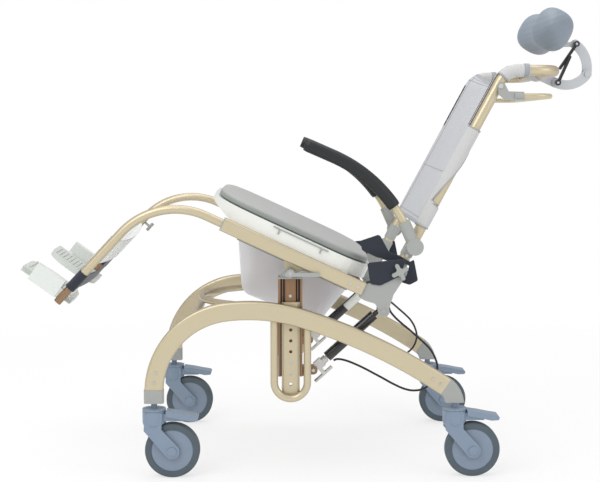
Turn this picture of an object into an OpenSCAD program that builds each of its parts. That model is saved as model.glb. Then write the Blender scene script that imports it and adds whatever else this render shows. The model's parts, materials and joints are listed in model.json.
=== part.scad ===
// Reclining shower chair on four casters. Two arched side rails carry two height
// columns; a seat with a commode pan tilts on the columns against two gas springs,
// and a fabric back with armrests and a headrest reclines on the seat.
// X runs from the feet to the back, Y from the sitter's left to right and Z up.
// The origin is on the floor under the middle of the whole length.

/* [Base] */
// Distance between the front and rear caster stems
wheel_base = 680; // [620:5:740]
// Distance between the left and right caster stems
track_w = 520; // [500:5:580]
// Height of the side rail's section
arch_h = 42; // [36:1:48]
// Width of the side rail's section
arch_t = 25; // [22:1:30]
// Wall of the side rail
arch_wall = 2; // [1.5:0.5:3]
// Centreline radius of the side rail's front bend
arch_front_r = 185; // [170:5:200]
// Centreline radius of the side rail's rear run
arch_rear_r = 1240; // [1180:10:1300]
// Centreline radius of the grey elbow at the side rail's rear end
elbow_r = 49.1; // [44:0.1:54]
// Height of the grey collar under the side rail's front end
collar_h = 30; // [24:1:40]
// Outer diameter of the U loop's tube
loop_tube_d = 17; // [14:1:20]
// Distance between the two legs of the U loop
loop_span = 75; // [70:1:84]
// Height of the U loop's underside above the floor
loop_floor_z = 169; // [158:1:180]
// Diameter of the front cross tube
cross_d = 18; // [14:1:24]

/* [Casters] */
// Diameter of each wheel
wheel_d = 124; // [115:1:128]
// Width of each wheel's tread
tread_w = 28; // [24:1:30]
// Distance that each wheel trails behind its stem
trail = 41; // [36:1:46]

/* [Height columns] */
// Width of the column from front to rear
column_w = 55; // [50:1:60]
// Depth of the column from side to side
column_d = 42; // [36:1:46]
// Length of the column
column_l = 223; // [210:1:240]
// Distance between two holes of the height bar
hole_pitch = 25; // [22:1:28]
// Diameter of the height bar's holes
hole_d = 7.5; // [6:0.5:9]
// Width of the height bar's flanges
bar_w = 41; // [36:1:43]
// Diameter of the tube hoop between the columns
hoop_d = 16; // [14:1:20]

/* [Seat] */
// Backward tilt of the seat at rest
tilt_rest = 25; // [20:1:30]
// Height of the seat rail's section
rail_h = 31; // [28:1:36]
// Width of the seat rail's section
rail_t = 25; // [22:1:28]
// Distance between the centres of the two seat rails
rail_gauge = 500; // [490:2:520]
// Height of the seat shell's side
shell_h = 32.5; // [28:0.5:38]
// Overall width of the seat shell
shell_w = 498; // [470:2:504]
// Overall length of the seat shell
shell_l = 402; // [390:2:410]
// Thickness of the seat pad at its crown
pad_h = 21; // [14:1:26]
// Length of the opening in the seat
aperture_l = 240; // [220:2:250]
// Width of the opening in the seat
aperture_w = 190; // [170:2:210]
// Length of the commode pan's mouth
pan_l = 287; // [276:1:294]
// Width of the commode pan's mouth
pan_w = 300; // [280:2:310]
// Depth of the commode pan
pan_depth = 122; // [110:1:126]

/* [Leg rests] */
// Outer diameter of the leg tubes
leg_d = 20; // [18:0.5:20.5]
// Centreline radius of the leg tubes' bend
leg_bend_r = 165; // [150:5:180]
// Length of the leg tubes below the bend
leg_lower_l = 172; // [150:2:190]
// Length of each footplate
plate_l = 134; // [120:2:150]
// Width of each footplate from side to side
plate_w = 140; // [120:2:160]

/* [Back] */
// Outer diameter of the back tube
back_d = 25; // [22:1:26]
// Distance between the two uprights of the back
back_gauge = 430; // [420:2:436]
// Length of the straight upright above the recline pivot
upright_l = 480; // [440:5:520]
// Thickness of the back's fabric
fabric_t = 3; // [2:0.5:4]
// Depth that the fabric hangs behind its uprights
sling_sag = 34; // [20:1:50]

/* [Armrests] */
// Outer diameter of the armrest tube
arm_d = 19; // [16:1:22]
// Outer diameter of the foam grip
grip_d = 30; // [26:1:32]
// Length of the foam grip's straight front part
grip_front_l = 64; // [50:2:90]

/* [Headrest] */
// Overall width of the headrest pad
head_w = 310; // [270:5:330]
// Width of the headrest's flat links
link_w = 23; // [20:1:26]

/* [Gas springs] */
// Outer diameter of the gas spring's body
spring_d = 24; // [20:1:26]
// Diameter of the gas spring's rod
rod_d = 10; // [8:1:12]

/* [Hidden] */
$fn = 48;

// Colours
champagne = [0.80, 0.75, 0.63];
bronze = [0.50, 0.41, 0.32];
casting_grey = [0.65, 0.67, 0.66];
caster_blue = [0.54, 0.59, 0.69];
steel = [0.75, 0.75, 0.74];
white_plastic = [0.92, 0.93, 0.91];
pad_grey = [0.64, 0.65, 0.64];
pan_grey = [0.75, 0.75, 0.76];
plate_grey = [0.84, 0.86, 0.84];
navy = [0.17, 0.19, 0.23];
cloth_grey = [0.76, 0.76, 0.77];
foam_black = [0.11, 0.11, 0.12];
head_blue = [0.49, 0.53, 0.58];
link_grey = [0.77, 0.78, 0.79];

// Clearances: a running fit, a hand's gap and the overrun of a cut
run = 0.05;
gap = 0.3;
cut = 1;

// Place of the middle of the wheel base
chassis_x = -28;

// Casters
caster_h = 1.27*wheel_d;
stem_d = 0.112*wheel_d;
stem_gap = 12.5;
collar_seat = 7;
socket_z = caster_h + stem_gap;
axle_d = 0.08*wheel_d;
fork_t = 5.5;
fork_gap = 3;
ring_r = 0.214*wheel_d;
ring_h = 4;
ring_groove = 1.2;
hub_d = 0.165*wheel_d;
core_d = 0.776*wheel_d;
core_inset = 1.5;
tyre_gap = 0.1;
tyre_corner = 5;
head_base = 112;
head_corner = 16;
leg_shares = [[-0.16, 1.2], [-0.177, 0.887], [0.226, 0.411], [0.431, 0.593], [0.145, 0.903],
    [0.145, 1.02], [0.16, 1.2]];
fork_leg_r = 0.137*wheel_d;
hood_y = 15;
hood_shares = [[0, 1.05], [0, 1.195], [0.274, 1.18], [0.532, 1.087], [0.532, 1.055]];
pedal_y = 20;
pedal_shares = [[0.222, 1.137], [0.222, 1.234], [0.444, 1.202], [0.6, 1.169], [0.79, 1.137],
    [0.81, 1.105], [0.79, 1.06], [0.66, 1.052], [0.53, 1.081]];
pedal_hollow_shares = [[0.1, 0.9], [0.1, 1.222], [0.22, 1.202], [0.556, 1.137], [0.556, 0.9]];
pedal_hinge_shares = [0.274, 1.145];
pedal_pin_r = 2.5;

// Where two steps of a bent tube meet
joint_gap = 0.02;
joint_l = 6;
stem_in = 20;

// Side rails: turns of the three bends, from the front leg to the rear end
arch_corner = 0.24*arch_t;
front_turn = 83;
crown_turn = 24.5;
rear_turn = 16.5;
collar_top = socket_z + collar_h;
front_stem_x = chassis_x - wheel_base/2;
rear_stem_x = chassis_x + wheel_base/2;
rail_y = track_w/2;
inner_face = rail_y - arch_t/2;
function turned(r, from, to) = [r*(cos(from) - cos(to)), r*(sin(to) - sin(from))];
end_heading = front_turn + crown_turn + rear_turn;
// The crown's radius takes up what the other three bends leave of the wheel base
arch_crown_r = (wheel_base - turned(arch_front_r, 0, front_turn).x
    - turned(arch_rear_r, front_turn + crown_turn, end_heading).x
    - turned(elbow_r, end_heading, 180).x)/turned(1, front_turn, front_turn + crown_turn).x;
arch_a = [front_stem_x, collar_top - collar_seat];
arch_b = arch_a + turned(arch_front_r, 0, front_turn);
arch_c = arch_b + turned(arch_crown_r, front_turn, front_turn + crown_turn);
arch_d = arch_c + turned(arch_rear_r, front_turn + crown_turn, end_heading);
elbow_end_z = arch_d.y - elbow_r*sin(end_heading);
function heading_at(x) = x < arch_b.x ? acos(1 - (x - arch_a.x)/arch_front_r)
    : x < arch_c.x ? acos(cos(front_turn) - (x - arch_b.x)/arch_crown_r)
    : acos(cos(front_turn + crown_turn) - (x - arch_c.x)/arch_rear_r);
function arch_z(x) = x < arch_b.x ? arch_a.y + arch_front_r*sin(heading_at(x))
    : x < arch_c.x ? arch_b.y + arch_crown_r*(sin(heading_at(x)) - sin(front_turn))
    : arch_c.y + arch_rear_r*(sin(heading_at(x)) - sin(front_turn + crown_turn));

// U loops and height bars
loop_clear = 0.5;
loop_y = inner_face + loop_tube_d/2 + loop_clear;
loop_set = 31;
loop_x = chassis_x - loop_set;
loop_wall = 2;
loop_z = loop_floor_z + loop_tube_d/2 + loop_span/2;
bar_t = 5;
bar_web_w = 31;
bar_bottom = loop_floor_z + 0.6*loop_tube_d;
bar_l = 217;
bar_top = bar_bottom + bar_l;
hole_count = 6;
hole_margin = 29;
hole_low_z = bar_bottom + hole_margin;
stop_hole = 2;
bar_clear = 0.4;

// Front cross tube
cross_set = 88;
cross_x = front_stem_x + cross_set;
cross_z = arch_z(cross_x);
cross_wall = 2;

// Screws
screw_r = 3.5;
screw_head_h = 2;
front_screw_x_shares = [0.03, 0.006];
front_screw_z = 18;
screw_step = 22;

// Height columns
pivot_set = 32;
pivot_x = chassis_x - pivot_set;
column_y = inner_face - gap - column_d/2;
recess_d = 2*bar_t + bar_clear - gap;
recess_w = bar_w + 2*bar_clear;
column_wall = 4;
groove_w = 6;
groove_d = 8;
groove_x = 15;
slot_w = 8.4;
bolt_d = 7;
bolt_head_h = 1;
stop_z = hole_low_z + stop_hole*hole_pitch;
stop_rise = 32;
column_z = stop_z - stop_rise;
column_top = column_z + column_l;
plate_h = 3;
pivot_rise = 15;
pivot_z = column_top + pivot_rise;
pivot_d = 8;
ear_r = 10;
ear_t = 5;
lug_t = 5;
lug_y = rail_gauge/2 - rail_t/2;
cap_foot_w = 50;
ear_outer_y = lug_y + gap + ear_t;
ear_inner_y = lug_y - lug_t - gap;
hoop_r = 171;
hoop_half = 53;
hoop_rise = 151;
hoop_z = column_z + hoop_rise;
hoop_wall = 2;
hoop_lead = 15;

// Lower gas spring clevis on each column
spring_inset = 26.2;
spring_y = column_y - spring_inset;
clevis_t = 4;
clevis_gap = 0.5;
eye_t = 14;
spring_set = 21;
spring_rise = 7;
spring_low_x = chassis_x + spring_set;
spring_low_z = column_z + spring_rise;
clevis_r = 10;
clevis_pin_d = 8;

// Lock lever on the tilt pivot
lever_l = 62;
lever_back = 8;
lever_t = 8;
lever_h = 9;
lever_drop = 3;
lever_hub_r = 9;
lever_gap = 1.5;
lever_y = rail_gauge/2 + rail_t/2 + lever_gap;

// Seat rails, measured from the tilt pivot along and square to the seat
rail_low = 20;
rail_front = 182;
rail_rear = 165;
rail_wall = 2;
rail_corner = 5;
rail_top = rail_low + rail_h;
lug_r = 12;
lug_half = 26;
stay_d = 22;
stay_u = 152;
stay_rise = 17;
stay_z = rail_low + stay_rise;

// Rear brackets
plug_l = 40;
bracket_t = 18;
bracket_set = 8;
bracket_y = rail_gauge/2 + bracket_set;
recline_u = 222;
recline_w = 106;
recline_r = 17;
recline_pin_d = 10;
spring_top_u = 228;
spring_top_w = 10;
spring_lug_r = 13;
bracket_shares = [[0, 0.14], [0, 0.44], [0.16, 0.5], [0.58, 1], [1, 1], [0.9, 0.5], [0.98, 0.1],
    [0.7, 0.08], [0.5, 0.16], [0.2, 0.13]];

// Seat shell, pad and belt
shell_front = 232;
shell_wall = 4;
shell_power = 4.5;
nose_rise = 22;
nose_run = 55;
aperture_u = 12;
pad_inset = 9;
pad_seat = 0.3;
outline_steps = 48;
clip_d = 3;
clip_u = -10;
clip_w = 79;
clip_l = 136;
clip_tab_l = 12;
belt_t = 3;
belt_y = bracket_y + gap;

// Commode pan and runners
pan_front = 140;
pan_top = 14;
pan_wall = 3;
pan_rim_w = 15;
pan_rim_t = 3;
pan_ball_r = 30;
pan_low_shares = [[0.285, 0.251], [0.828, 0.302]];
pan_low_half_share = 0.27;
pan_corner_r = 55;
runner_t = 2;
runner_lip = 12;

// Leg tubes and straps
leg_wall = 1.2;
leg_in_l = 60;
leg_out_l = 42;
leg_bend = 72;
leg_rise = 16;
leg_w = rail_low + leg_rise;
leg_lip = 4;
strap_t = 1.6;
heel_w = 48;
heel_sag = 12;
heel_wrap = 1;
strap_back = 4;
calf_w = 73;
calf_share = 0.535;
calf_sag = 16;
calf_wrap = 0.5;
strap_steps = 12;
cap_t = 3;
knob_long = 26;
knob_short = 18;
knob_t = 10;
knob_share = 0.62;
tee_share = 0.075;
tee_stem_l = 16;
tee_stem_d = 6;
tee_bar_l = 24;
tee_bar_d = 8;

// Foot hangers and footplates
stub_in_l = 110;
stub_out_l = 42;
block_l = 72;
block_h = 42;
block_t = 26;
block_gap = 8;
block_lift = 8;
block_slot_w = 4;
neck_t = 14;
neck_h = 24;
foot_turn = 7;
plate_t = 13;
plate_pin_d = 8;
knuckle_d = 13;
knuckle_w = 13;
plate_front = 99;
plate_corner_r = 55;
rib_count = 12;
rib_h = 2;
rib_w = 4;

// Gas springs, measured from the lower pin along the spring
spring_hi_x = pivot_x + spring_top_u*cos(tilt_rest) + spring_top_w*sin(tilt_rest);
spring_hi_z = pivot_z - spring_top_u*sin(tilt_rest) + spring_top_w*cos(tilt_rest);
spring_angle = atan2(spring_hi_z - spring_low_z, spring_hi_x - spring_low_x);
spring_l = norm([spring_hi_x - spring_low_x, spring_hi_z - spring_low_z]);
head_start = 9;
head_l = 20;
rod_end = 0.72*spring_l;
spring_head_w = 22;
lock_collar_l = 11;
lock_collar_d = 18;
body_start = 44;
body_end_gap = 24;
neck_d = 11;
eye_w = 12;
eye_r = 11;
eye_play = 2.2;
rod_clear = 0.1;
adjuster_d = 8;
adjuster_l = 52;
adjuster_drop = 24;

// Back, measured from the recline pivot along and square to the upright
back_lean = 3;
back_wall = 2;
knuckle_r = 16;
knuckle_l = 30;
push_bend_r = 50;
push_run = 42;
push_corner_r = 45;
sleeve_r = back_d/2 + fabric_t;
sling_low = 112;
sling_steps = 16;
sling_turns = 5;
sling_turn = 38;
sleeve_top_share = 0.52;

// Armrests
arm_y = 248;
arm_pivot_s = 65;
arm_pivot_n = 4;
arm_clamp_t = 8;
arm_heading = 142;
arm_turn = 42.4;
arm_run_l = 40;
arm_bend_r = 327;
arm_wall = 2;
elbow_d = 28;
elbow_l = 62;
elbow_disc_r = 19;
elbow_disc_t = 29;
grip_lead = 102;
tip_l = 3;

// Star knobs
star_r = 20;
star_hub_r = 9;
star_arm_w = 9;
star_t = 9;
star_arms = 4;
star_start = 52;
star_tip_steps = 6;
star_hub_steps = 4;
star_y = belt_y + belt_t + gap;

// Release bar, measured level from its pivot screw
release_s = 472;
release_n = 4;
release_arm_t = 8;
release_bar_d = 12;
release_reach = 118;
release_drop = 22;
release_corner_r = 36;
release_y = back_gauge/2 + back_d/2 + gap;
release_shares = [[-0.12, 0.1], [0.16, 0.12], [0.34, -0.22], [1, -0.24], [1, -0.6], [0.22, -0.6],
    [-0.08, -0.34]];
release_arm_l = 53;

// Headrest links: the pins of the bracket, the knee and the pad
head_pin_shares = [[0.3167, 1.1833], [0.4313, 1.2938], [0.3083, 1.3979]];
head_pin_a = upright_l*head_pin_shares[0];
head_pin_b = upright_l*head_pin_shares[1];
head_pin_c = upright_l*head_pin_shares[2];
lower_link_r = 60;
upper_link_r = 70;
link_t = 5;
bracket_plate_t = 6;
link_pin_d = 6;
link_head_d = 13;
link_head_h = 4;
link_y = bracket_plate_t/2 + gap;
clamp_w = 7;
clamp_t = 7;
clamp_y = link_y + link_t + link_head_h + gap;
lower_clamp_l = 67;
upper_clamp_l = 70;
clamp_lean = 4;
upper_clamp_lean = 6;
head_stem_l = 46;

// Headrest pad: middle of the lobes and their half sizes
head_n = 55;
head_s = 663;
head_half_n = 50;
head_half_s = 52;
head_lobe_share = 0.6;
head_waist_share = 0.62;
head_wrap = 20;
head_rings = 20;
head_sides = 20;

// Cable route from the spring's release to the rear bracket, left side
cable_d = 5;
cable_sides = 8;
cable_points = [
    [68, -200, 254], [76, -200, 257], [88, -200, 256], [105, -201, 251], [124, -202, 243],
    [143, -204, 234], [162, -206, 224], [181, -208, 214], [201, -210, 203], [222, -212, 193],
    [237, -213, 188], [251, -214, 186], [268, -215, 188], [284, -216, 196], [298, -216, 211],
    [305, -216, 229], [306, -216, 244], [302, -216, 259], [296, -215, 272], [287, -214, 285],
    [273, -212, 299], [256, -210, 314], [240, -208, 328], [224, -206, 341], [210, -205, 354],
    [199, -204, 367], [194, -204, 379]
];

// Mirrored pair: the left piece and its twin on the right
module pair() {
    children();
    mirror([0, 1, 0]) children();
}

module on_side(s) {
    if (s < 0) children();
    else mirror([0, 1, 0]) children();
}

// A plate drawn in the X-Z plane, from y towards the left by t
module slab(y, t) {
    translate([0, y, 0]) rotate([90, 0, 0]) linear_extrude(t) children();
}

// A round bar along Y, from y towards the left by l
module pin(x, z, y, r, l) {
    translate([x, y, z]) rotate([90, 0, 0]) cylinder(r = r, h = l);
}

module rounded_rect(x, y, r) {
    square([x, y - 2*r], center = true);
    square([x - 2*r, y], center = true);
    for (i = [-1, 1], j = [-1, 1]) translate([i*(x/2 - r), j*(y/2 - r)]) circle(r);
}

// A bar with round ends between two points
module capsule(p, q, r) {
    d = q - p;
    s = r*[-d.y, d.x]/norm(d);
    polygon([p + s, q + s, q - s, p - s]);
    translate(p) circle(r);
    translate(q) circle(r);
}

module ring_2d(d, wall) {
    difference() {
        circle(d = d);
        circle(d = d - 2*wall);
    }
}

// Runs the section, child 0, through straight steps [length, 0, 0] and bends
// [radius, turn, roll]. It starts up along Z, and a bend turns it towards its own X.
// Child 1 is a sleeve inside the section that joins one step to the next.
module run_along(steps, i = 0) {
    if (i < len(steps)) {
        s = steps[i];
        if (i > 0) translate([0, 0, -joint_l/2]) linear_extrude(joint_l) children(1);
        if (s[1] == 0) {
            linear_extrude(s[0] - joint_gap) children(0);
            translate([0, 0, s[0]]) run_along(steps, i + 1) {
                children(0);
                children(1);
            }
        } else {
            rotate([0, 0, s[2]]) {
                translate([s[0], 0, 0]) rotate([90, 0, 180])
                    rotate_extrude(angle = s[1] - joint_gap/s[0]*180/PI)
                        translate([s[0], 0]) children(0);
                translate([s[0], 0, 0]) rotate([0, s[1], 0]) translate([-s[0], 0, 0])
                    run_along(steps, i + 1) {
                        children(0);
                        children(1);
                    }
            }
        }
    }
}

module round_tube(steps, d, wall) {
    run_along(steps) {
        ring_2d(d, wall);
        ring_2d(d - wall/2, wall/2);
    }
}

module square_tube_2d(x, y, r, wall) {
    difference() {
        rounded_rect(x, y, r);
        rounded_rect(x - 2*wall, y - 2*wall, r - wall);
    }
}

// Frames of the tilting seat and of the back on it
module seat_at() {
    translate([pivot_x, 0, pivot_z]) rotate([0, tilt_rest, 0]) children();
}

module back_at() {
    seat_at() translate([recline_u, 0, recline_w]) rotate([0, back_lean, 0]) children();
}

// A closed solid through rows of points: each row is a closed loop of the same length
module skin(rows) {
    n = len(rows[0]);
    m = len(rows);
    sides = [for (i = [0:m - 2], j = [0:n - 1])
        let (a = i*n + j, b = i*n + (j + 1)%n)
        each [[a, b, b + n], [a, b + n, a + n]]];
    first = [for (j = [1:n - 2]) [0, j + 1, j]];
    last = [for (j = [1:n - 2]) [(m - 1)*n, (m - 1)*n + j, (m - 1)*n + j + 1]];
    polyhedron([for (row = rows) each row], concat(sides, first, last));
}

// Side rails
module side_rail(s) {
    color(champagne) on_side(s) {
        translate([arch_a.x, -rail_y, arch_a.y])
            run_along([[arch_front_r, front_turn, 0], [arch_crown_r, crown_turn, 0],
                [arch_rear_r, rear_turn, 0]]) {
                square_tube_2d(arch_h, arch_t, arch_corner, arch_wall);
                square_tube_2d(arch_h - arch_wall/2, arch_t - arch_wall/2, arch_corner - arch_wall/4,
                    arch_wall/2);
            }
        translate([loop_x - loop_span/2, -loop_y, loop_top(-1)]) rotate([180, 0, 0])
            round_tube([[loop_top(-1) - loop_z, 0, 0], [loop_span/2, 180, 0],
                [loop_top(1) - loop_z, 0, 0]], loop_tube_d, loop_wall);
    }
}

// Height where a leg of the U loop ends inside the rail's lower wall
function loop_top(i) = let (x = loop_x + i*loop_span/2)
    arch_z(x) - (arch_h/2 - arch_wall)/sin(heading_at(x));

module left_side_rail() side_rail(-1);
module right_side_rail() side_rail(1);

module height_bars() {
    color(champagne) pair() difference() {
        translate([0, -inner_face, bar_bottom]) {
            translate([loop_x - bar_web_w/2, 0, 0]) cube([bar_web_w, bar_t, bar_top - bar_bottom]);
            translate([loop_x - bar_w/2, bar_t, 0]) cube([bar_w, bar_t, bar_top - bar_bottom]);
        }
        for (k = [0:hole_count - 1])
            pin(loop_x, hole_low_z + k*hole_pitch, -inner_face + 2*bar_t + cut, hole_d/2,
                2*bar_t + 2*cut);
    }
}

module front_cross_tube() {
    color(champagne) translate([cross_x, 0, cross_z]) rotate([90, 0, 0])
        linear_extrude(2*inner_face, center = true) ring_2d(cross_d, cross_wall);
}

module caster_sockets() {
    color(casting_grey) pair() {
        difference() {
            translate([front_stem_x, -rail_y, socket_z])
                linear_extrude(collar_h)
                    rounded_rect(arch_h + arch_wall, arch_t + 2*arch_wall, arch_corner);
            translate([front_stem_x, -rail_y, arch_a.y])
                linear_extrude(collar_h)
                    rounded_rect(arch_h + 2*gap, arch_t + 2*gap, arch_corner);
            stem_bore(front_stem_x);
        }
        difference() {
            translate([arch_d.x, -rail_y, arch_d.y]) rotate([0, end_heading, 0])
                translate([elbow_r, 0, 0]) rotate([90, 0, 180])
                    rotate_extrude(angle = 180 - end_heading) translate([elbow_r, 0])
                        rounded_rect(arch_h, arch_t, arch_corner);
            translate([rear_stem_x - arch_h, -track_w, socket_z - arch_h])
                cube([2*arch_h, track_w, arch_h]);
            stem_bore(rear_stem_x);
        }
    }
}

module stem_bore(x) {
    translate([x, -rail_y, socket_z - cut]) cylinder(d = stem_d + 2*run, h = stem_in + cut);
}

module rail_screw(x, y) {
    pin(x, arch_z(x), y, screw_r, screw_head_h);
}

module base_screws() {
    color(steel) pair() {
        for (k = [0, 1]) {
            pin(front_stem_x + front_screw_x_shares[1 - k]*arch_front_r,
                collar_top + front_screw_z + k*screw_step, -rail_y - arch_t/2, screw_r, screw_head_h);
            rail_screw(arch_d.x - screw_step*(0.5 + 0.8*k), -rail_y - arch_t/2);
        }
        // The stop bolt that the column stands on, and the bolt below it
        for (k = [stop_hole - 1, stop_hole])
            pin(loop_x, hole_low_z + k*hole_pitch, -inner_face + 2*bar_t + groove_d/2, bolt_d/2,
                2*bar_t + groove_d/2 - bolt_head_h);
    }
}

// Height columns with their lower gas spring clevises
module columns() {
    face = column_y + column_d/2;
    color(bronze) pair() {
        difference() {
            union() {
                translate([pivot_x - column_w/2, -face, column_z])
                    cube([column_w, column_d, column_l]);
                translate([pivot_x + column_w/2, -spring_y - eye_t/2 - clevis_gap - clevis_t, 0])
                    for (k = [0, 1])
                        translate([0, k*(eye_t + 2*clevis_gap + clevis_t), 0]) clevis_ear();
                translate([pivot_x + column_w/2 - clevis_t, -column_y,
                    spring_low_z - clevis_r])
                    cube([2*clevis_t, column_y - spring_y + eye_t/2 + clevis_gap + clevis_t,
                        2*clevis_r]);
            }
            translate([pivot_x - column_w/2 + column_wall, -face + recess_d + groove_d + column_wall,
                column_z - cut])
                cube([column_w - 2*column_wall,
                    column_d - recess_d - groove_d - 2*column_wall, column_l + 2*cut]);
            translate([loop_x - recess_w/2, -face - cut, column_z - cut])
                cube([recess_w, recess_d + cut, column_l + 2*cut]);
            for (i = [-1, 1])
                translate([loop_x + i*groove_x - groove_w/2, -face - cut, column_z - cut])
                    cube([groove_w, recess_d + groove_d + cut, column_l + 2*cut]);
            translate([loop_x - slot_w/2, -face - cut, column_z - cut])
                cube([slot_w, recess_d + groove_d/2 + 2*cut,
                    stop_z + bolt_d/2 - column_z + cut]);
            pin(spring_low_x, spring_low_z, 0, clevis_pin_d/2 + run, 2*spring_y);
        }
    }
}

module clevis_ear() {
    x = spring_low_x - pivot_x - column_w/2;
    translate([0, clevis_t, 0]) rotate([90, 0, 0]) linear_extrude(clevis_t) {
        translate([0, spring_low_z - clevis_r]) square([x, 2*clevis_r]);
        translate([x, spring_low_z]) circle(clevis_r);
    }
}

module column_caps() {
    color(casting_grey) pair() difference() {
        union() {
            translate([pivot_x - column_w/2, -column_y - column_d/2, column_top])
                cube([column_w, column_d, plate_h]);
            for (y = [ear_outer_y, ear_inner_y]) slab(-y + ear_t, ear_t) {
                polygon([[pivot_x - cap_foot_w/2, column_top + plate_h - gap],
                    [pivot_x + cap_foot_w/2, column_top + plate_h - gap],
                    [pivot_x + ear_r/2, pivot_z + ear_r*0.86],
                    [pivot_x - ear_r/2, pivot_z + ear_r*0.86]]);
                translate([pivot_x, pivot_z]) circle(ear_r);
            }
        }
        pin(pivot_x, pivot_z, 0, pivot_d/2, 2*lug_y);
    }
}

module column_hoop() {
    leg = hoop_leg() + hoop_lead;
    color(champagne) difference() {
        translate([hoop_cx(), 0, hoop_z])
            translate([-hoop_r*cos(hoop_half), -hoop_r*sin(hoop_half), 0])
            rotate([0, 0, hoop_half - 90]) translate([leg, 0, 0]) rotate([0, -90, 0])
                round_tube([[leg, 0, 0], [hoop_r, 2*hoop_half, 90], [leg, 0, 0]], hoop_d, hoop_wall);
        pair() translate([pivot_x - column_w/2, -column_y - column_d, hoop_z - hoop_d])
            cube([2*hoop_d, column_d*2, 2*hoop_d]);
    }
}

// The hoop's legs flare from its bend to the middle of each column's front face
function hoop_leg() = (column_y - hoop_r*sin(hoop_half))/cos(hoop_half);
function hoop_cx() = pivot_x - column_w/2 - hoop_leg()*sin(hoop_half) + hoop_r*cos(hoop_half);

module tilt_pivot_bolts() {
    color(steel) pair() {
        pin(pivot_x, pivot_z, -ear_inner_y + ear_t + screw_head_h, pivot_d/2 - run,
            lever_y + lever_t - ear_inner_y + ear_t + screw_head_h);
        pin(pivot_x, pivot_z, -ear_inner_y + ear_t + screw_head_h, pivot_d*0.8, screw_head_h);
        pin(pivot_x, pivot_z, -ear_outer_y - gap, pivot_d*0.8,
            lever_y - ear_outer_y - 2*gap);
        pin(spring_low_x, spring_low_z, -spring_y + eye_t/2 + clevis_gap + clevis_t + screw_head_h,
            clevis_pin_d/2, eye_t + 2*clevis_gap + 2*clevis_t + 2*screw_head_h);
        pin(pivot_x, column_top - 1.6*hole_pitch, -column_y - column_d/2 + recess_d, screw_r,
            screw_head_h);
    }
}

module lock_lever(s) {
    color(casting_grey) on_side(s) difference() {
        slab(-lever_y, lever_t) {
            translate([pivot_x, pivot_z]) circle(lever_hub_r);
            capsule([pivot_x - lever_back, pivot_z - lever_drop], [pivot_x + lever_l, pivot_z - lever_drop],
                lever_h/2);
        }
        pin(pivot_x, pivot_z, -lever_y + cut, pivot_d/2, lever_t + 2*cut);
    }
}

module left_lock_lever() lock_lever(-1);
module right_lock_lever() lock_lever(1);

// Seat frame: two rails with their pivot lugs and a stay between them
module seat_frame() {
    mid = rail_low + rail_h/2;
    color(champagne) seat_at() {
        pair() {
            translate([-rail_front, -rail_gauge/2, mid]) rotate([0, 90, 0])
                linear_extrude(rail_front + rail_rear) difference() {
                    rounded_rect(rail_h, rail_t, rail_corner);
                    rounded_rect(rail_h - 2*rail_wall, rail_t - 2*rail_wall,
                        rail_corner - rail_wall);
                }
            difference() {
                slab(-lug_y + lug_t, lug_t) {
                    circle(lug_r);
                    polygon([[-lug_half, mid], [lug_half, mid], [lug_half, rail_low + rail_wall],
                        [lug_r*0.9, -lug_r*0.3], [-lug_r*0.9, -lug_r*0.3],
                        [-lug_half, rail_low + rail_wall]]);
                }
                pin(0, 0, -lug_y + lug_t + cut, pivot_d/2, lug_t + 2*cut);
            }
        }
        translate([stay_u, 0, stay_z]) rotate([90, 0, 0])
            linear_extrude(2*lug_y, center = true) ring_2d(stay_d, rail_wall);
    }
}

module rear_brackets() {
    height = recline_w;
    length = recline_u + recline_r - rail_rear;
    color(casting_grey) seat_at() pair() difference() {
        union() {
            slab(-bracket_y + bracket_t, bracket_t) {
                translate([rail_rear, 0])
                    polygon([for (p = bracket_shares) [p.x*length, p.y*height]]);
                translate([recline_u, recline_w]) circle(recline_r);
                translate([spring_top_u, spring_top_w]) circle(spring_lug_r);
            }
            pin(spring_top_u, spring_top_w, -spring_y - eye_w/2 - gap, spring_lug_r,
                bracket_y - bracket_t/2 - spring_y - eye_w/2 - gap);
            pin(recline_u, recline_w, -back_gauge/2 - knuckle_r - gap, recline_r,
                bracket_y - bracket_t/2 - back_gauge/2 - knuckle_r - gap);
            translate([rail_rear - plug_l, -rail_gauge/2, rail_low + rail_h/2])
                rotate([0, 90, 0]) linear_extrude(plug_l + cut)
                    rounded_rect(rail_h - 2*rail_wall - 2*run, rail_t - 2*rail_wall - 2*run,
                        rail_corner - rail_wall);
        }
        pin(spring_top_u, spring_top_w, -spring_y, pivot_d/2, bracket_y);
        pin(recline_u, recline_w, -spring_y, recline_pin_d/2, bracket_y);
    }
}

// Rounded outline of the seat: half length a, half width b
function seat_outline(a, b, k) = let (t = 360*k/outline_steps, p = 2/shell_power)
    [a*sign(cos(t))*pow(abs(cos(t)), p), b*sign(sin(t))*pow(abs(sin(t)), p)];
seat_mid = shell_l/2 - shell_front;

module aperture_2d(grow) {
    r = aperture_w/2 + grow;
    reach = aperture_l/2 - aperture_w/2;
    translate([aperture_u, 0]) {
        square([2*reach, 2*r], center = true);
        for (i = [-1, 1]) translate([i*reach, 0]) circle(r);
    }
}

module seat_shell() {
    color(white_plastic) seat_at() difference() {
        translate([seat_mid, 0, rail_top]) linear_extrude(shell_h)
            polygon([for (k = [0:outline_steps - 1]) seat_outline(shell_l/2, shell_w/2, k)]);
        difference() {
            translate([seat_mid, 0, rail_top - cut]) linear_extrude(shell_h - shell_wall + cut)
                polygon([for (k = [0:outline_steps - 1])
                    seat_outline(shell_l/2 - shell_wall, shell_w/2 - shell_wall, k)]);
            translate([0, 0, rail_top - 2*cut]) linear_extrude(shell_h)
                aperture_2d(shell_wall);
            nose_cut(shell_wall);
        }
        translate([0, 0, rail_top - cut]) linear_extrude(shell_h + 2*cut) aperture_2d(0);
        nose_cut(0);
    }
}

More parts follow.
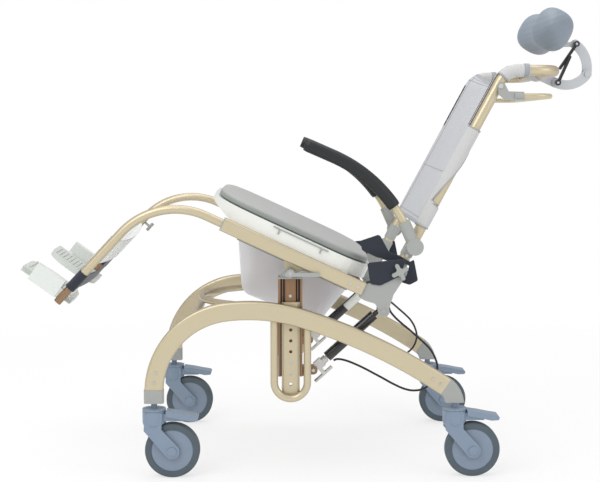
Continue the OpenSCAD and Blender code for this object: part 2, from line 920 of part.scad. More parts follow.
// The front of the shell rises from its underside to its nose
module nose_cut(lift) {
    slope = atan2(nose_rise, nose_run);
    translate([nose_run - shell_front, 0, rail_top + lift/cos(slope)]) rotate([0, slope, 0])
        translate([-nose_run*2, -shell_w, -nose_run]) cube([nose_run*2, 2*shell_w, nose_run]);
}

// The pad's section from its underside round the edge to its dished middle, as shares of
// its outline and its height
pad_section_shares = [[0.985, 0], [1, 0.3], [0.995, 0.66], [0.965, 0.88], [0.9, 0.98], [0.78, 1],
    [0.55, 0.97], [0.25, 0.94]];

module seat_pad() {
    color(pad_grey) seat_at() skin([for (p = pad_section_shares)
        [for (k = [outline_steps - 1:-1:0])
            let (o = seat_outline((shell_l/2 - pad_inset)*p.x, (shell_w/2 - pad_inset)*p.x, k))
            [seat_mid + o.x, o.y, rail_top + shell_h + pad_seat + pad_h*p.y]]]);
}

module commode_pan() {
    mid_u = pan_l/2 - pan_front;
    color(pan_grey) seat_at() difference() {
        union() {
            pan_hull(0);
            translate([mid_u, 0, pan_top - pan_rim_t]) linear_extrude(pan_rim_t)
                rounded_rect(pan_l + pan_rim_w, pan_w + 2*pan_rim_w, pan_corner_r + pan_rim_w/2);
        }
        pan_hull(pan_wall);
        translate([mid_u, 0, pan_top - pan_rim_t - cut]) linear_extrude(pan_rim_t + 2*cut)
            rounded_rect(pan_l - 2*pan_wall, pan_w - 2*pan_wall, pan_corner_r - pan_wall);
    }
}

// The pan's tapered body, drawn in by inset
module pan_hull(inset) {
    r = pan_ball_r - inset;
    hull($fn = 32) {
        translate([pan_l/2 - pan_front, 0, pan_top - pan_rim_t]) linear_extrude(pan_rim_t/2)
            rounded_rect(pan_l - 2*inset, pan_w - 2*inset, pan_corner_r - inset, $fn = 32);
        for (p = pan_low_shares, i = [-1, 1])
            translate([p.x*pan_l - pan_front, i*pan_low_half_share*pan_w,
                pan_top - pan_depth*(1 - p.y)])
                sphere(r, $fn = 32);
    }
}

// Runners that hold the pan's rim, hung from the seat rails
module pan_runners() {
    half = pan_w/2 + pan_rim_w;
    length = stay_u - stay_d/2 - gap + pan_front;
    color(casting_grey) seat_at() pair() difference() {
        union() {
            translate([-pan_front, -half - gap - runner_t, pan_top - pan_rim_t - gap - runner_t]) {
                cube([length, runner_t + gap + runner_lip, runner_t]);
                cube([length, runner_t, pan_rim_t + rail_h/2]);
            }
            translate([-pan_front, -lug_y, pan_top + rail_h/2 - gap - runner_t])
                cube([length, lug_y - half - gap, runner_t]);
        }
        translate([-lug_half - gap, -lug_y - cut, rail_low])
            cube([2*lug_half + 2*gap, lug_t + gap + cut, rail_h]);
    }
}

// Leg tubes: they leave the rails' front ends, bend down and run to the feet
module leg_start() {
    translate([-rail_front + leg_in_l, -rail_gauge/2, leg_w]) rotate([0, -90, 0])
        mirror([1, 0, 0]) children();
}

// Frame at a share of the way down the leg tubes' lower run, with Z pointing down the tube
module leg_lower(share) {
    leg_start() translate([0, 0, leg_in_l + leg_out_l]) translate([leg_bend_r, 0, 0])
        rotate([0, leg_bend, 0]) translate([-leg_bend_r, 0, share*leg_lower_l]) children();
}

module leg_tubes() {
    color(champagne) seat_at() pair() leg_start()
        round_tube([[leg_in_l + leg_out_l, 0, 0], [leg_bend_r, leg_bend, 0],
            [leg_lower_l, 0, 0]], leg_d, leg_wall);
}

// A strap across the two leg tubes: it sags between them and wraps each tube, all round it
// or on its inner half only
module leg_strap(share, width, sag, wrap) {
    r = leg_d/2 + gap/2;
    leg_lower(share) {
        strap_wrap(r, width, wrap);
        rows = [for (k = [0:strap_steps])
            let (t = k/strap_steps, y = r + strap_t/2 + t*(rail_gauge - 2*r - strap_t),
                x = strap_back + 4*sag*t*(1 - t))
            [[x - strap_t/2, y, 0], [x + strap_t/2, y, 0], [x + strap_t/2, y, width],
                [x - strap_t/2, y, width]]];
        skin(rows);
    }
    mirror([0, 1, 0]) leg_lower(share) strap_wrap(r, width, wrap);
}

module strap_wrap(r, width, wrap) {
    difference() {
        cylinder(r = r + strap_t, h = width);
        translate([0, 0, -cut]) cylinder(r = r, h = width + 2*cut);
        if (wrap < 1) translate([-leg_d, -2*leg_d, -cut]) cube([2*leg_d, 2*leg_d, width + 2*cut]);
    }
}

module heel_strap() {
    color(navy) seat_at() leg_strap(1 - heel_w/leg_lower_l, heel_w, heel_sag,
        heel_wrap);
}

module calf_strap() {
    color(cloth_grey) seat_at() leg_strap(calf_share - calf_w/leg_lower_l, calf_w, calf_sag,
        calf_wrap);
}

// Small fixings of the seat: rail end caps, screws, bolts, knobs and spring clips
module seat_fixings() {
    color(casting_grey) seat_at() {
        pair() {
            translate([-rail_front - cap_t, -rail_gauge/2, rail_low + rail_h/2])
                rotate([0, 90, 0]) linear_extrude(cap_t) difference() {
                    rounded_rect(rail_h, rail_t, rail_corner);
                    translate([rail_h/2 - leg_w + rail_low, 0]) circle(leg_d/2 + gap/2);
                }
            for (k = [0, 1]) pin(rail_rear - screw_step*(0.6 + k*0.9), rail_low + rail_h/2,
                -rail_gauge/2 - rail_t/2, screw_r, screw_head_h);
            pin(spring_top_u, spring_top_w, -bracket_y, pivot_d*0.8, screw_head_h);
            pin(spring_top_u, spring_top_w, -spring_y + eye_w/2 + gap, pivot_d/2 - run,
                bracket_y - spring_y + eye_w/2 + gap);
            pin(spring_top_u, spring_top_w, -spring_y + eye_w/2 + gap + screw_head_h,
                pivot_d*0.8, screw_head_h);
            pin(recline_u, recline_w, -back_gauge/2 + knuckle_r + gap + screw_head_h,
                recline_pin_d*0.7, screw_head_h);
            pin(recline_u, recline_w, -back_gauge/2 + knuckle_r + gap, recline_pin_d/2 - run,
                star_y - back_gauge/2 + knuckle_r + gap + star_t/2);
            leg_lower(knob_share) translate([0, leg_d/2 + gap, 0]) rotate([-90, 0, 0])
                linear_extrude(knob_t) capsule([0, -knob_long/2 + knob_short/2],
                    [0, knob_long/2 - knob_short/2], knob_short/2);
            translate([clip_u - clip_l/2, -shell_w/2 - clip_d/2 - gap/2, clip_w]) {
                rotate([0, 90, 0]) cylinder(d = clip_d, h = clip_l);
                for (k = [0.12, 0.88]) translate([k*clip_l, 0, 0]) rotate([180, 0, 0])
                    cylinder(d = clip_d, h = clip_tab_l);
            }
        }
        mirror([0, 1, 0]) leg_lower(tee_share) translate([leg_d/2 + gap/2, 0, 0]) rotate([0, 90, 0]) {
            cylinder(d = tee_stem_d, h = tee_stem_l);
            translate([0, 0, tee_stem_l]) rotate([90, 0, 90]) translate([0, 0, -tee_bar_l/2])
                cylinder(d = tee_bar_d, h = tee_bar_l);
        }
    }
}

// Pelvic belt: folded webbing on the outside of each rear bracket
belt_main_shares = [[-0.34, 0.88], [-0.22, 0.5], [-0.12, 0.56], [0.02, 0.92], [0, 1.3],
    [-0.12, 1.16]];
belt_tail_shares = [[0.075, 1.19], [0.06, 1.27], [0.09, 1.35], [0.22, 0.98], [0.16, 0.82],
    [0.045, 0.79], [0.085, 0.93]];
belt_loop_shares = [[-0.49, 1.23], [-0.34, 1.53], [-0.17, 1.27], [-0.06, 1.3], [0.06, 1.27],
    [0.09, 1.35], [0.22, 0.98], [0.16, 0.82], [0.045, 0.79], [0.085, 0.93], [0.075, 1.19],
    [-0.04, 1.19],
    [-0.15, 1.13], [-0.26, 1.06], [-0.43, 1.06]];
module seat_belt() {
    color(navy) seat_at() {
        pair() difference() {
            slab(-belt_y, belt_t) belt_2d(belt_main_shares);
            pin(recline_u, recline_w, -belt_y + cut, recline_pin_d/2 + gap, belt_t + 2*cut);
        }
        slab(-bracket_y + bracket_t + belt_t + gap, belt_t) belt_2d(belt_loop_shares);
        mirror([0, 1, 0]) slab(-bracket_y + bracket_t + belt_t + gap, belt_t)
            belt_2d(belt_tail_shares);
    }
}

module belt_2d(shares) {
    polygon([for (p = shares) [recline_u*(1 + p.x), recline_w*p.y]]);
}

// Foot hangers: the inner tube, with the grey block that the footplate hinges on
stub_d = leg_d - 2*leg_wall - 2*run;
block_rear = -stub_d/2 - block_gap;
block_front = block_rear - block_l;
pin_y = block_t/2 + knuckle_d/2 + gap;
pin_z = block_h - block_lift - knuckle_d/2;
module foot_at(s) {
    seat_at() on_side(s) leg_lower(1) children();
}

module x_bar(x0, x1, r) {
    translate([x0, pin_y, pin_z]) rotate([0, 90, 0]) cylinder(r = r, h = x1 - x0);
}

module foot_hanger(s) {
    foot_at(s) {
        color(bronze) difference() {
            translate([0, 0, -stub_in_l]) cylinder(d = stub_d, h = stub_in_l + stub_out_l);
            translate([0, 0, -stub_in_l - cut])
                cylinder(d = stub_d - 4*leg_wall, h = stub_in_l + stub_out_l - leg_wall);
        }
        color(plate_grey) rotate([0, foot_turn, 0]) {
            difference() {
                union() {
                    translate([block_front, -block_t/2, -block_lift])
                        cube([block_l, block_t, block_h]);
                    translate([block_rear - cut, -neck_t/2, stub_out_l/2 - neck_h/2])
                        cube([block_gap + stub_d/4 + cut, neck_t, neck_h]);
                }
                translate([block_front - cut, -block_slot_w/2, -block_lift - cut])
                    cube([block_l/4, block_slot_w, block_h*0.8]);
            }
            x_bar(block_front + gap, block_rear - gap, plate_pin_d/2);
            for (x = [block_front + gap, block_rear - gap - knuckle_w]) {
                x_bar(x, x + knuckle_w, knuckle_d/2);
                translate([x, block_t/2 - cut, pin_z - knuckle_d/2])
                    cube([knuckle_w, pin_y - block_t/2 + cut, knuckle_d]);
            }
        }
    }
}

module left_foot_hanger() foot_hanger(-1);
module right_foot_hanger() foot_hanger(1);
module left_footplate() footplate(-1);
module right_footplate() footplate(1);

// The footplate's ribbed board, with a knuckle between the block's two
module footplate(s) {
    swing = knuckle_d/2 + gap;
    foot_at(s) rotate([0, foot_turn, 0]) color(plate_grey) difference() {
        union() {
            translate([block_rear - plate_front, pin_y, pin_z - plate_t/2]) {
                linear_extrude(plate_t) plate_outline();
                for (k = [1:rib_count])
                    translate([plate_l*k/(rib_count + 1) - rib_w/2, plate_w*0.16, -rib_h])
                        cube([rib_w, plate_w*0.68, rib_h + cut]);
            }
            x_bar(block_front + knuckle_w + 2*gap, block_rear - knuckle_w - 2*gap, knuckle_d/2);
        }
        for (x = [block_front, block_rear - knuckle_w - 2*gap])
            translate([x, pin_y - knuckle_d, pin_z - plate_t])
                cube([knuckle_w + 2*gap, knuckle_d + swing, 2*plate_t]);
        x_bar(block_front - plate_front, block_rear + plate_l, plate_pin_d/2 + run);
    }
}

module plate_outline() {
    r = plate_corner_r;
    square([plate_l, plate_w - r]);
    translate([r, 0]) square([plate_l - 2*r, plate_w]);
    for (x = [r, plate_l - r]) translate([x, plate_w - r]) circle(r);
}

// Gas springs
module spring_at() {
    translate([spring_low_x, -spring_y, spring_low_z]) rotate([0, 90 - spring_angle, 0])
        children();
}

module spring_rod(s) {
    color(steel) on_side(s) spring_at() {
        difference() {
            union() {
                rotate([90, 0, 0]) cylinder(r = clevis_r - cut, h = eye_t, center = true);
                translate([-spring_head_w/2, -eye_t/2, head_start])
                    cube([spring_head_w, eye_t, head_l]);
                translate([-clevis_r*0.6, -eye_t/2, 0]) cube([clevis_r*1.2, eye_t, head_start + cut]);
                translate([spring_head_w/2 - cut, -eye_t/2, head_start])
                    cube([adjuster_drop - spring_head_w/2 + cut, eye_t, adjuster_d]);
                translate([adjuster_drop, 0, -adjuster_l*0.3])
                    cylinder(d = adjuster_d, h = adjuster_l);
            }
            rotate([90, 0, 0]) cylinder(d = clevis_pin_d + 2*run, h = eye_t + 2*cut, center = true);
        }
        translate([0, 0, head_start + head_l/2]) cylinder(d = rod_d, h = rod_end - head_start - head_l/2);
        translate([0, 0, head_start + head_l])
            cylinder(d = lock_collar_d, h = lock_collar_l);
    }
}

module left_spring_rod() spring_rod(-1);
module right_spring_rod() spring_rod(1);
module left_spring_body() spring_body(-1);
module right_spring_body() spring_body(1);

module spring_body(s) {
    body_l = spring_l - body_end_gap - body_start;
    color(foam_black) on_side(s) spring_at() difference() {
        union() {
            translate([0, 0, body_start]) cylinder(d = spring_d, h = body_l);
            translate([0, 0, body_start + body_l - cut])
                cylinder(d = neck_d, h = body_end_gap - eye_r + 2*cut);
            translate([0, 0, spring_l]) rotate([90, 0, 0])
                cylinder(r = eye_r, h = eye_w, center = true);
        }
        translate([0, 0, body_start - cut])
            cylinder(d = rod_d + 2*rod_clear, h = rod_end - body_start + 3*cut);
        translate([0, 0, spring_l]) rotate([90, 0, 0])
            cylinder(r = pivot_d/2 + eye_play, h = eye_w + 2*cut, center = true);
    }
}

// Release cables: one tube swept along each route
function ring_at(p, d, r) = let (t = d/norm(d), side = cross(t, [0, 1, 0]),
    u = side/norm(side), v = cross(t, u))
    [for (k = [0:cable_sides - 1]) p + r*(cos(360*k/cable_sides)*u + sin(360*k/cable_sides)*v)];
module release_cables() {
    n = len(cable_points);
    rows = [for (i = [0:n - 1])
        ring_at(cable_points[i] + [chassis_x, 0, 0],
            cable_points[min(i + 1, n - 1)] - cable_points[max(i - 1, 0)], cable_d/2)];
    color(foam_black) pair() skin([for (row = rows) [for (k = [cable_sides - 1:-1:0]) row[k]]]);
}

// Back frame: one bent tube, its two halves mirrored about the middle
world_lean = tilt_rest + back_lean;
push_turn = 90 - world_lean;
module back_frame() {
    start = knuckle_l*0.6;
    half = back_gauge/2 - push_corner_r;
    color(champagne) back_at() translate([0, -back_gauge/2, start])
        round_tube([[upright_l - start, 0, 0], [push_bend_r, push_turn, 0], [push_run, 0, 0],
            [push_corner_r, 90, 90], [2*half, 0, 0], [push_corner_r, 90, 0], [push_run, 0, 0],
            [push_bend_r, push_turn, -90], [upright_l - start, 0, 0]], back_d, back_wall);
}

// Grey fittings on the uprights: the recline knuckles, the armrest clamps and the screws
// that the armrests and the release bar turn on
module back_fittings() {
    tube_y = back_gauge/2 + back_d/2 + run;
    clamp_face = arm_y - elbow_disc_t/2 - gap;
    color(casting_grey) back_at() pair() {
        difference() {
            union() {
                pin(0, 0, -back_gauge/2 + knuckle_r, knuckle_r, 2*knuckle_r);
                translate([0, -back_gauge/2, 0]) cylinder(d = back_d + 2*back_wall, h = knuckle_l);
            }
            pin(0, 0, -back_gauge/2 + knuckle_r + cut, recline_pin_d/2, 2*knuckle_r + 2*cut);
            translate([0, -back_gauge/2, knuckle_l*0.6]) cylinder(d = back_d + 2*run, h = knuckle_l);
        }
        translate([0, -back_gauge/2, arm_pivot_s - 1.5*elbow_disc_r])
            linear_extrude(2*elbow_disc_r) ring_2d(back_d + 2*back_wall, back_wall - run);
        slab(-tube_y, clamp_face - tube_y)
            capsule([0, arm_pivot_s - elbow_disc_r], [arm_pivot_n, arm_pivot_s + elbow_disc_r/2],
                back_d/2 - back_wall);
        pin(arm_pivot_n, arm_pivot_s, -clamp_face + back_wall, arm_d/4,
            elbow_disc_t/2 + gap + back_wall);
        pin(0, arm_pivot_s - elbow_disc_r*1.4, -clamp_face, screw_r, screw_head_h);
        pin(release_n, release_s, -tube_y, screw_r,
            release_y + release_arm_t + gap + screw_head_h - tube_y);
        pin(release_n, release_s, -release_y - release_arm_t - gap, 1.6*screw_r, screw_head_h);
    }
}

// Back sling: a hanging panel between the uprights, with a sleeve round each
function sling_path(i) = i <= sling_steps - sling_turns
    ? [0, sling_low + (upright_l - sling_low)*i/(sling_steps - sling_turns), 0]
    : let (a = sling_turn*(i - sling_steps + sling_turns)/sling_turns)
        [push_bend_r*(1 - cos(a)), upright_l + push_bend_r*sin(a), a];
module back_sling() {
    cols = 14;
    span = back_gauge;
    sag_share = [for (j = [0:cols]) 4*(j/cols)*(1 - j/cols)];
    front = -back_d/2 - fabric_t/2 - 3*gap;
    rows = [for (i = [0:sling_steps])
        let (p = sling_path(i), edge = min(1, 0.55 + 0.9*i/sling_steps),
            depth = sling_sag*edge)
        [for (side = [0, 1], k = [0:cols])
            let (j = side == 0 ? k : cols - k,
                n = front + depth*sag_share[j] + (side == 0 ? -fabric_t/2 : fabric_t/2),
                y = -span/2 + span*j/cols)
            [p.x + n*cos(p.z), y, p.y - n*sin(p.z)]]];
    color(cloth_grey) back_at() {
        skin(rows);
        pair() difference() {
            translate([0, -back_gauge/2, sling_low])
                cylinder(r = sleeve_r, h = upright_l*sleeve_top_share);
            translate([0, -back_gauge/2, 0]) cylinder(r = back_d/2 + gap, h = upright_l);
        }
    }
}

// Armrests: an elbow on the clamp plate, the arm tube and the foam grip
module arm_start() {
    translate([arm_pivot_n, -arm_y, arm_pivot_s]) rotate([0, 90 - arm_heading, 0]) children();
}

// Frame at an angle along the arm tube's bend
module arm_bend_at(angle) {
    arm_start() translate([-arm_bend_r, 0, arm_run_l]) rotate([0, -angle, 0])
        translate([arm_bend_r, 0, 0]) children();
}

module armrest(s) {
    start = elbow_disc_r + gap;
    back_at() on_side(s) {
        color(casting_grey) difference() {
            union() {
                pin(arm_pivot_n, arm_pivot_s, -arm_y + elbow_disc_t/2, elbow_disc_r, elbow_disc_t);
                arm_start() cylinder(d = elbow_d, h = elbow_l);
            }
            arm_start() translate([0, 0, start - gap]) cylinder(d = arm_d + 2*gap, h = elbow_l);
            pin(arm_pivot_n, arm_pivot_s, -arm_y + elbow_disc_t/2 + cut, arm_d/4 + run,
                elbow_disc_t/2 + 2*cut);
        }
        color(champagne) arm_start() translate([0, 0, start])
            round_tube([[arm_run_l - start, 0, 0], [arm_bend_r, arm_turn, 180],
                [grip_front_l, 0, 0]], arm_d, arm_wall);
    }
}

module arm_grip(s) {
    angle = (grip_lead - arm_run_l)/arm_bend_r*180/PI;
    color(foam_black) back_at() on_side(s) {
        arm_bend_at(angle) round_tube([[arm_bend_r, arm_turn - angle, 180],
            [grip_front_l + gap + tip_l, 0, 0]], grip_d, (grip_d - arm_d)/2 - gap);
        arm_bend_at(arm_turn) translate([0, 0, grip_front_l + gap])
            cylinder(d = grip_d - grip_d/8, h = tip_l);
    }
}

module left_armrest() armrest(-1);
module right_armrest() armrest(1);
module left_arm_grip() arm_grip(-1);
module right_arm_grip() arm_grip(1);

// Outline of one arm, from the hub round its tip and along the hub to the next arm
function polar(r, a) = r*[cos(a), sin(a)];
function star_arm(a) = let (r = star_arm_w/2, side = asin(r/star_hub_r), next = 360/star_arms)
    concat([for (i = [-star_tip_steps:star_tip_steps])
        polar(star_r - r, a) + polar(r, a + 90*i/star_tip_steps)],
        [for (i = [0:star_hub_steps]) polar(star_hub_r, a + side + (next - 2*side)*i/star_hub_steps)]);

module star_knob(s) {
    color(casting_grey) seat_at() on_side(s) difference() {
        slab(-star_y, star_t) translate([recline_u, recline_w]) {
            polygon([for (k = [0:star_arms - 1]) each star_arm(star_start + 360*k/star_arms)]);
        }
        pin(recline_u, recline_w, -star_y + cut, recline_pin_d/2, star_t/2 + cut + run);
    }
}

module left_star_knob() star_knob(-1);
module right_star_knob() star_knob(1);

// Release bar: a grey arm on each upright and a thin hoop behind the push bar
module release_bar() {
    reach = release_reach - release_arm_l*0.6 - release_corner_r;
    bar_y = release_y + release_arm_t/2;
    color(casting_grey) back_at() translate([release_n, 0, release_s]) rotate([0, -world_lean, 0]) {
        pair() difference() {
            union() {
                slab(-release_y, release_arm_t) {
                    circle(release_arm_t);
                    polygon([for (p = release_shares) release_arm_l*p]);
                }
                translate([release_arm_l*0.6, -bar_y, -release_drop]) rotate([0, 90, 0])
                    cylinder(d = release_bar_d + 2*arm_wall, h = release_arm_l*0.4);
            }
            translate([release_arm_l*0.6, -bar_y, -release_drop]) rotate([0, 90, 0])
                cylinder(d = release_bar_d, h = release_arm_l);
            pin(0, 0, -release_y + cut, screw_r + run, release_arm_t + 2*cut);
        }
        translate([release_arm_l*0.6, -bar_y, -release_drop]) rotate([0, 90, 0])
            round_tube([[reach, 0, 0], [release_corner_r, 90, 90],
                [2*(bar_y - release_corner_r), 0, 0], [release_corner_r, 90, 0], [reach, 0, 0]],
                release_bar_d - 2*run, arm_wall);
    }
}

// Headrest: flat curved links between three pins
function arc_centre(p, q, r) = let (m = (p + q)/2, d = q - p, h = sqrt(r*r - d*d/4))
    m + h*[-d.y, d.x]/norm(d);
module link_2d(p, q, r) {
    c = arc_centre(p, q, r);
    far = 2*r;
    difference() {
        union() {
            intersection() {
                translate(c) difference() {
                    circle(r + link_w/2, $fn = 96);
                    circle(r - link_w/2, $fn = 96);
                }
                polygon([c, c + far*(p - c)/r, c + far*((p + q)/2 - c)/r*1.4, c + far*(q - c)/r]);
            }
            translate(p) circle(link_w/2);
            translate(q) circle(link_w/2);
        }
        translate(p) circle(link_pin_d/2 + run);
        translate(q) circle(link_pin_d/2 + run);
    }
}

push_mid_n = push_bend_r*(1 - cos(push_turn)) + (push_run + push_corner_r)*sin(push_turn);
push_mid_s = upright_l + push_bend_r*sin(push_turn) + (push_run + push_corner_r)*cos(push_turn);
module headrest_bracket() {
    pin_l = clamp_y + 2*clamp_t + gap;
    color(link_grey) back_at() difference() {
        union() {
            slab(bracket_plate_t/2, bracket_plate_t)
                capsule([push_mid_n, push_mid_s], head_pin_a, link_w/2);
            pin(push_mid_n, push_mid_s, link_w, back_d/2 + arm_wall*2, 2*link_w);
            pin(head_pin_a.x, head_pin_a.y, bracket_plate_t/2 + link_head_h, link_head_d/2,
                link_head_h);
            pin(head_pin_a.x, head_pin_a.y, 0, link_pin_d/2, pin_l);
        }
        pin(push_mid_n, push_mid_s, link_w + cut, back_d/2 + run, 2*link_w + 2*cut);
    }
}

module headrest_lower_link() {
    color(link_grey) back_at() {
        slab(-link_y, link_t) link_2d(head_pin_a, head_pin_b, lower_link_r);
        pin(head_pin_b.x, head_pin_b.y, link_t/2 + gap, link_pin_d/2, link_y + 1.5*link_t + gap);
        pin(head_pin_b.x, head_pin_b.y, -link_y - link_t, link_head_d/2, link_head_h);
    }
}

module headrest_upper_link() {
    color(link_grey) back_at() {
        slab(link_t/2, link_t) link_2d(head_pin_b, head_pin_c, upper_link_r);
        pin(head_pin_c.x, head_pin_c.y, link_t/2 + gap, link_pin_d/2,
            link_t/2 + gap + clamp_y + clamp_t);
    }
}

// Moulded headrest pad: two lobes with a drawn-in waist that cups the head
function head_row(k) = let (t = -1 + 2*k/head_rings, y = t*head_w/2,
    bump = exp(-pow((abs(t) - head_lobe_share)/0.34, 2)),
    round_end = sqrt(max(0.004, 1 - pow(abs(t), 3.2))),
    scale_n = (head_waist_share + (1 - head_waist_share)*bump)*round_end,
    scale_s = (0.8 + 0.2*bump)*round_end,
    back = head_wrap*(1 - pow(abs(t), 2)))
    [for (j = [0:head_sides - 1]) let (a = 360*j/head_sides)
        [head_n + back + head_half_n*scale_n*cos(a), y, head_s + head_half_s*scale_s*sin(a)]];
module headrest_pad() {
    color(head_blue) back_at() {
        skin([for (k = [0:head_rings]) head_row(k)]);
        slab(-link_y, link_t) difference() {
            capsule(head_pin_c, head_pin_c + head_stem_l*[-cos(30), -sin(30)], link_w/2);
            translate(head_pin_c) circle(link_pin_d/2 + run);
        }
    }
}

module clamp_lever(p, y, l, a) {
    color(foam_black) back_at() difference() {
        slab(y, clamp_t) {
            translate(p) circle(clamp_w);
            capsule(p, p + l*[sin(a), cos(a)], clamp_w/2);
        }
        pin(p.x, p.y, y + cut, link_pin_d/2 + run, clamp_t + 2*cut);
    }
}

module lower_clamp_lever() {
    clamp_lever(head_pin_a, -clamp_y - clamp_t - gap, lower_clamp_l, -clamp_lean);
}

module upper_clamp_lever() {
    clamp_lever(head_pin_c, -clamp_y, upper_clamp_l, 180 + upper_clamp_lean);
}

// Casters: fork with its stem and axle, wheel with its tyre, and the brake pedal
module caster_at(front, s) {
    translate([front < 0 ? front_stem_x : rear_stem_x, s*rail_y, 0]) children();
}

module fork(front, s) {
    side = tread_w/2 + fork_gap;
    head_top = caster_h - ring_h - ring_groove;
    color(caster_blue) caster_at(front, s) {
        difference() {
            union() {
                rotate_extrude($fn = 96) {
                    translate([0, head_base + head_corner])
                        square([ring_r, head_top - head_base - head_corner]);
                    translate([0, head_base]) square([ring_r - head_corner, head_corner]);
                    intersection() {
                        translate([ring_r - head_corner, head_base + head_corner])
                            circle(head_corner);
                        translate([0, head_base]) square([ring_r, 2*head_corner]);
                    }
                    square_at([0, head_base + head_corner],
                        [ring_r - ring_groove, caster_h - cut]);
                    square_at([0, caster_h - ring_h], [ring_r, caster_h]);
                    square_at([0, caster_h - cut], [stem_d/2, caster_h + stem_gap + stem_in - gap]);
                }
                for (i = [0, 1]) slab(i*(2*side + fork_t) - side, fork_t) {
                    polygon([for (p = leg_shares) wheel_d*p]);
                    translate([trail, wheel_d/2]) circle(fork_leg_r);
                }
                slab(hood_y, 2*hood_y) polygon([for (p = hood_shares) wheel_d*p]);
            }
            pin(trail, wheel_d/2, side, wheel_d/2 + fork_gap, 2*side);
        }
        pin(trail, wheel_d/2, side + fork_t + screw_head_h, axle_d/2,
            2*(side + fork_t + screw_head_h));
        for (y = [side + fork_t + screw_head_h, -side - fork_t])
            pin(trail, wheel_d/2, y, hub_d/2, screw_head_h);
        pin(pedal_hinge_shares.x*wheel_d, pedal_hinge_shares.y*wheel_d, pedal_y, pedal_pin_r,
            2*pedal_y);
    }
}

module square_at(p, q) {
    translate(p) square(q - p);
}

module wheel(front, s) {
    tyre_t = (wheel_d - core_d)/2 - tyre_gap;
    color(caster_blue) caster_at(front, s) translate([trail, 0, wheel_d/2]) rotate([90, 0, 0]) {
        difference() {
            union() {
                cylinder(d = core_d, h = tread_w - 2*core_inset, center = true);
                cylinder(d = hub_d*1.3, h = tread_w + fork_gap, center = true);
            }
            cylinder(d = axle_d + 2*run, h = 2*tread_w, center = true);
        }
        rotate_extrude($fn = 96) translate([core_d/2 + tyre_gap, 0]) {
            square_at([0, -tread_w/2], [tyre_t - tyre_corner, tread_w/2]);
            square_at([0, tyre_corner - tread_w/2], [tyre_t, tread_w/2 - tyre_corner]);
            for (i = [-1, 1]) translate([tyre_t - tyre_corner, i*(tread_w/2 - tyre_corner)])
                circle(tyre_corner);
        }
    }
}

module pedal(front, s) {
    color(caster_blue) caster_at(front, s) difference() {
        slab(pedal_y, 2*pedal_y) polygon([for (p = pedal_shares) wheel_d*p]);
        slab(hood_y + gap, 2*hood_y + 2*gap) polygon([for (p = pedal_hollow_shares) wheel_d*p]);
        pin(pedal_hinge_shares.x*wheel_d, pedal_hinge_shares.y*wheel_d, pedal_y + cut,
            pedal_pin_r + run, 2*pedal_y + 2*cut);
    }
}

module front_left_fork() fork(-1, -1);
module front_left_wheel() wheel(-1, -1);
module front_left_pedal() pedal(-1, -1);
module front_right_fork() fork(-1, 1);
module front_right_wheel() wheel(-1, 1);
module front_right_pedal() pedal(-1, 1);
module rear_left_fork() fork(1, -1);
module rear_left_wheel() wheel(1, -1);
module rear_left_pedal() pedal(1, -1);
module rear_right_fork() fork(1, 1);
module rear_right_wheel() wheel(1, 1);
module rear_right_pedal() pedal(1, 1);

left_side_rail();
right_side_rail();
height_bars();
front_cross_tube();
caster_sockets();
base_screws();
columns();
column_caps();
column_hoop();
tilt_pivot_bolts();
left_lock_lever();
right_lock_lever();
seat_frame();
rear_brackets();
seat_shell();
seat_pad();
seat_fixings();
commode_pan();
pan_runners();
leg_tubes();
calf_strap();
heel_strap();
seat_belt();
left_foot_hanger();
right_foot_hanger();
left_footplate();
right_footplate();
left_spring_rod();
right_spring_rod();
left_spring_body();
right_spring_body();
release_cables();
back_frame();
back_sling();
back_fittings();
left_armrest();
right_armrest();
left_arm_grip();
right_arm_grip();
left_star_knob();
right_star_knob();
release_bar();
headrest_bracket();
headrest_lower_link();
headrest_upper_link();
headrest_pad();
lower_clamp_lever();
upper_clamp_lever();
front_left_fork();
front_left_wheel();
front_left_pedal();
front_right_fork();
front_right_wheel();
front_right_pedal();
rear_left_fork();
rear_left_wheel();
rear_left_pedal();
rear_right_fork();
rear_right_wheel();
rear_right_pedal();
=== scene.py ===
"""Reclining shower chair: finishes, cloth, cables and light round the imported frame."""
import json
import math

import bmesh
import bpy
from mathutils import Matrix, Vector, noise

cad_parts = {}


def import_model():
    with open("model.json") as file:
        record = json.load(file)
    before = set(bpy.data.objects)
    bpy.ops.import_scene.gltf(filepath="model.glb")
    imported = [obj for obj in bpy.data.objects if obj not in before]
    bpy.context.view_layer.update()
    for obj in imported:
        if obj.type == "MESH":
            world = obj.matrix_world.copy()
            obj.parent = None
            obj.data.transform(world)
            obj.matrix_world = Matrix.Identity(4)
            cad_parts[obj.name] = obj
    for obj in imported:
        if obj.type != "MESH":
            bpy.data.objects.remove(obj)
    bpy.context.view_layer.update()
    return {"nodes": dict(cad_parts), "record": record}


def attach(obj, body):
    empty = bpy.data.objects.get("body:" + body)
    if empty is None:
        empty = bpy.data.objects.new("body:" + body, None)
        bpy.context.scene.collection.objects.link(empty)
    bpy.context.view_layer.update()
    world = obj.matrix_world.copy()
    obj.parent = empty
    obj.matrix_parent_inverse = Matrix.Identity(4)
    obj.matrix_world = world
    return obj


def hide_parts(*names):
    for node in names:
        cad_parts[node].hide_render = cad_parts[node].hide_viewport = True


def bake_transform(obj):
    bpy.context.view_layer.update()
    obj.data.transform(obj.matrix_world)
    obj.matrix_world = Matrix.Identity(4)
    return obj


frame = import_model()
MM = 0.001
LEFT, RIGHT = -1, 1
SIDES = {"left": LEFT, "right": RIGHT}


# Places on the chair, in millimetres as in the model, turned into metres
CHASSIS_X = -28
PIVOT = Vector((-60, 0, 464.2))
TILT = math.radians(25)
LEAN = math.radians(28)
RECLINE = Vector((186.0, 0, 466.447))


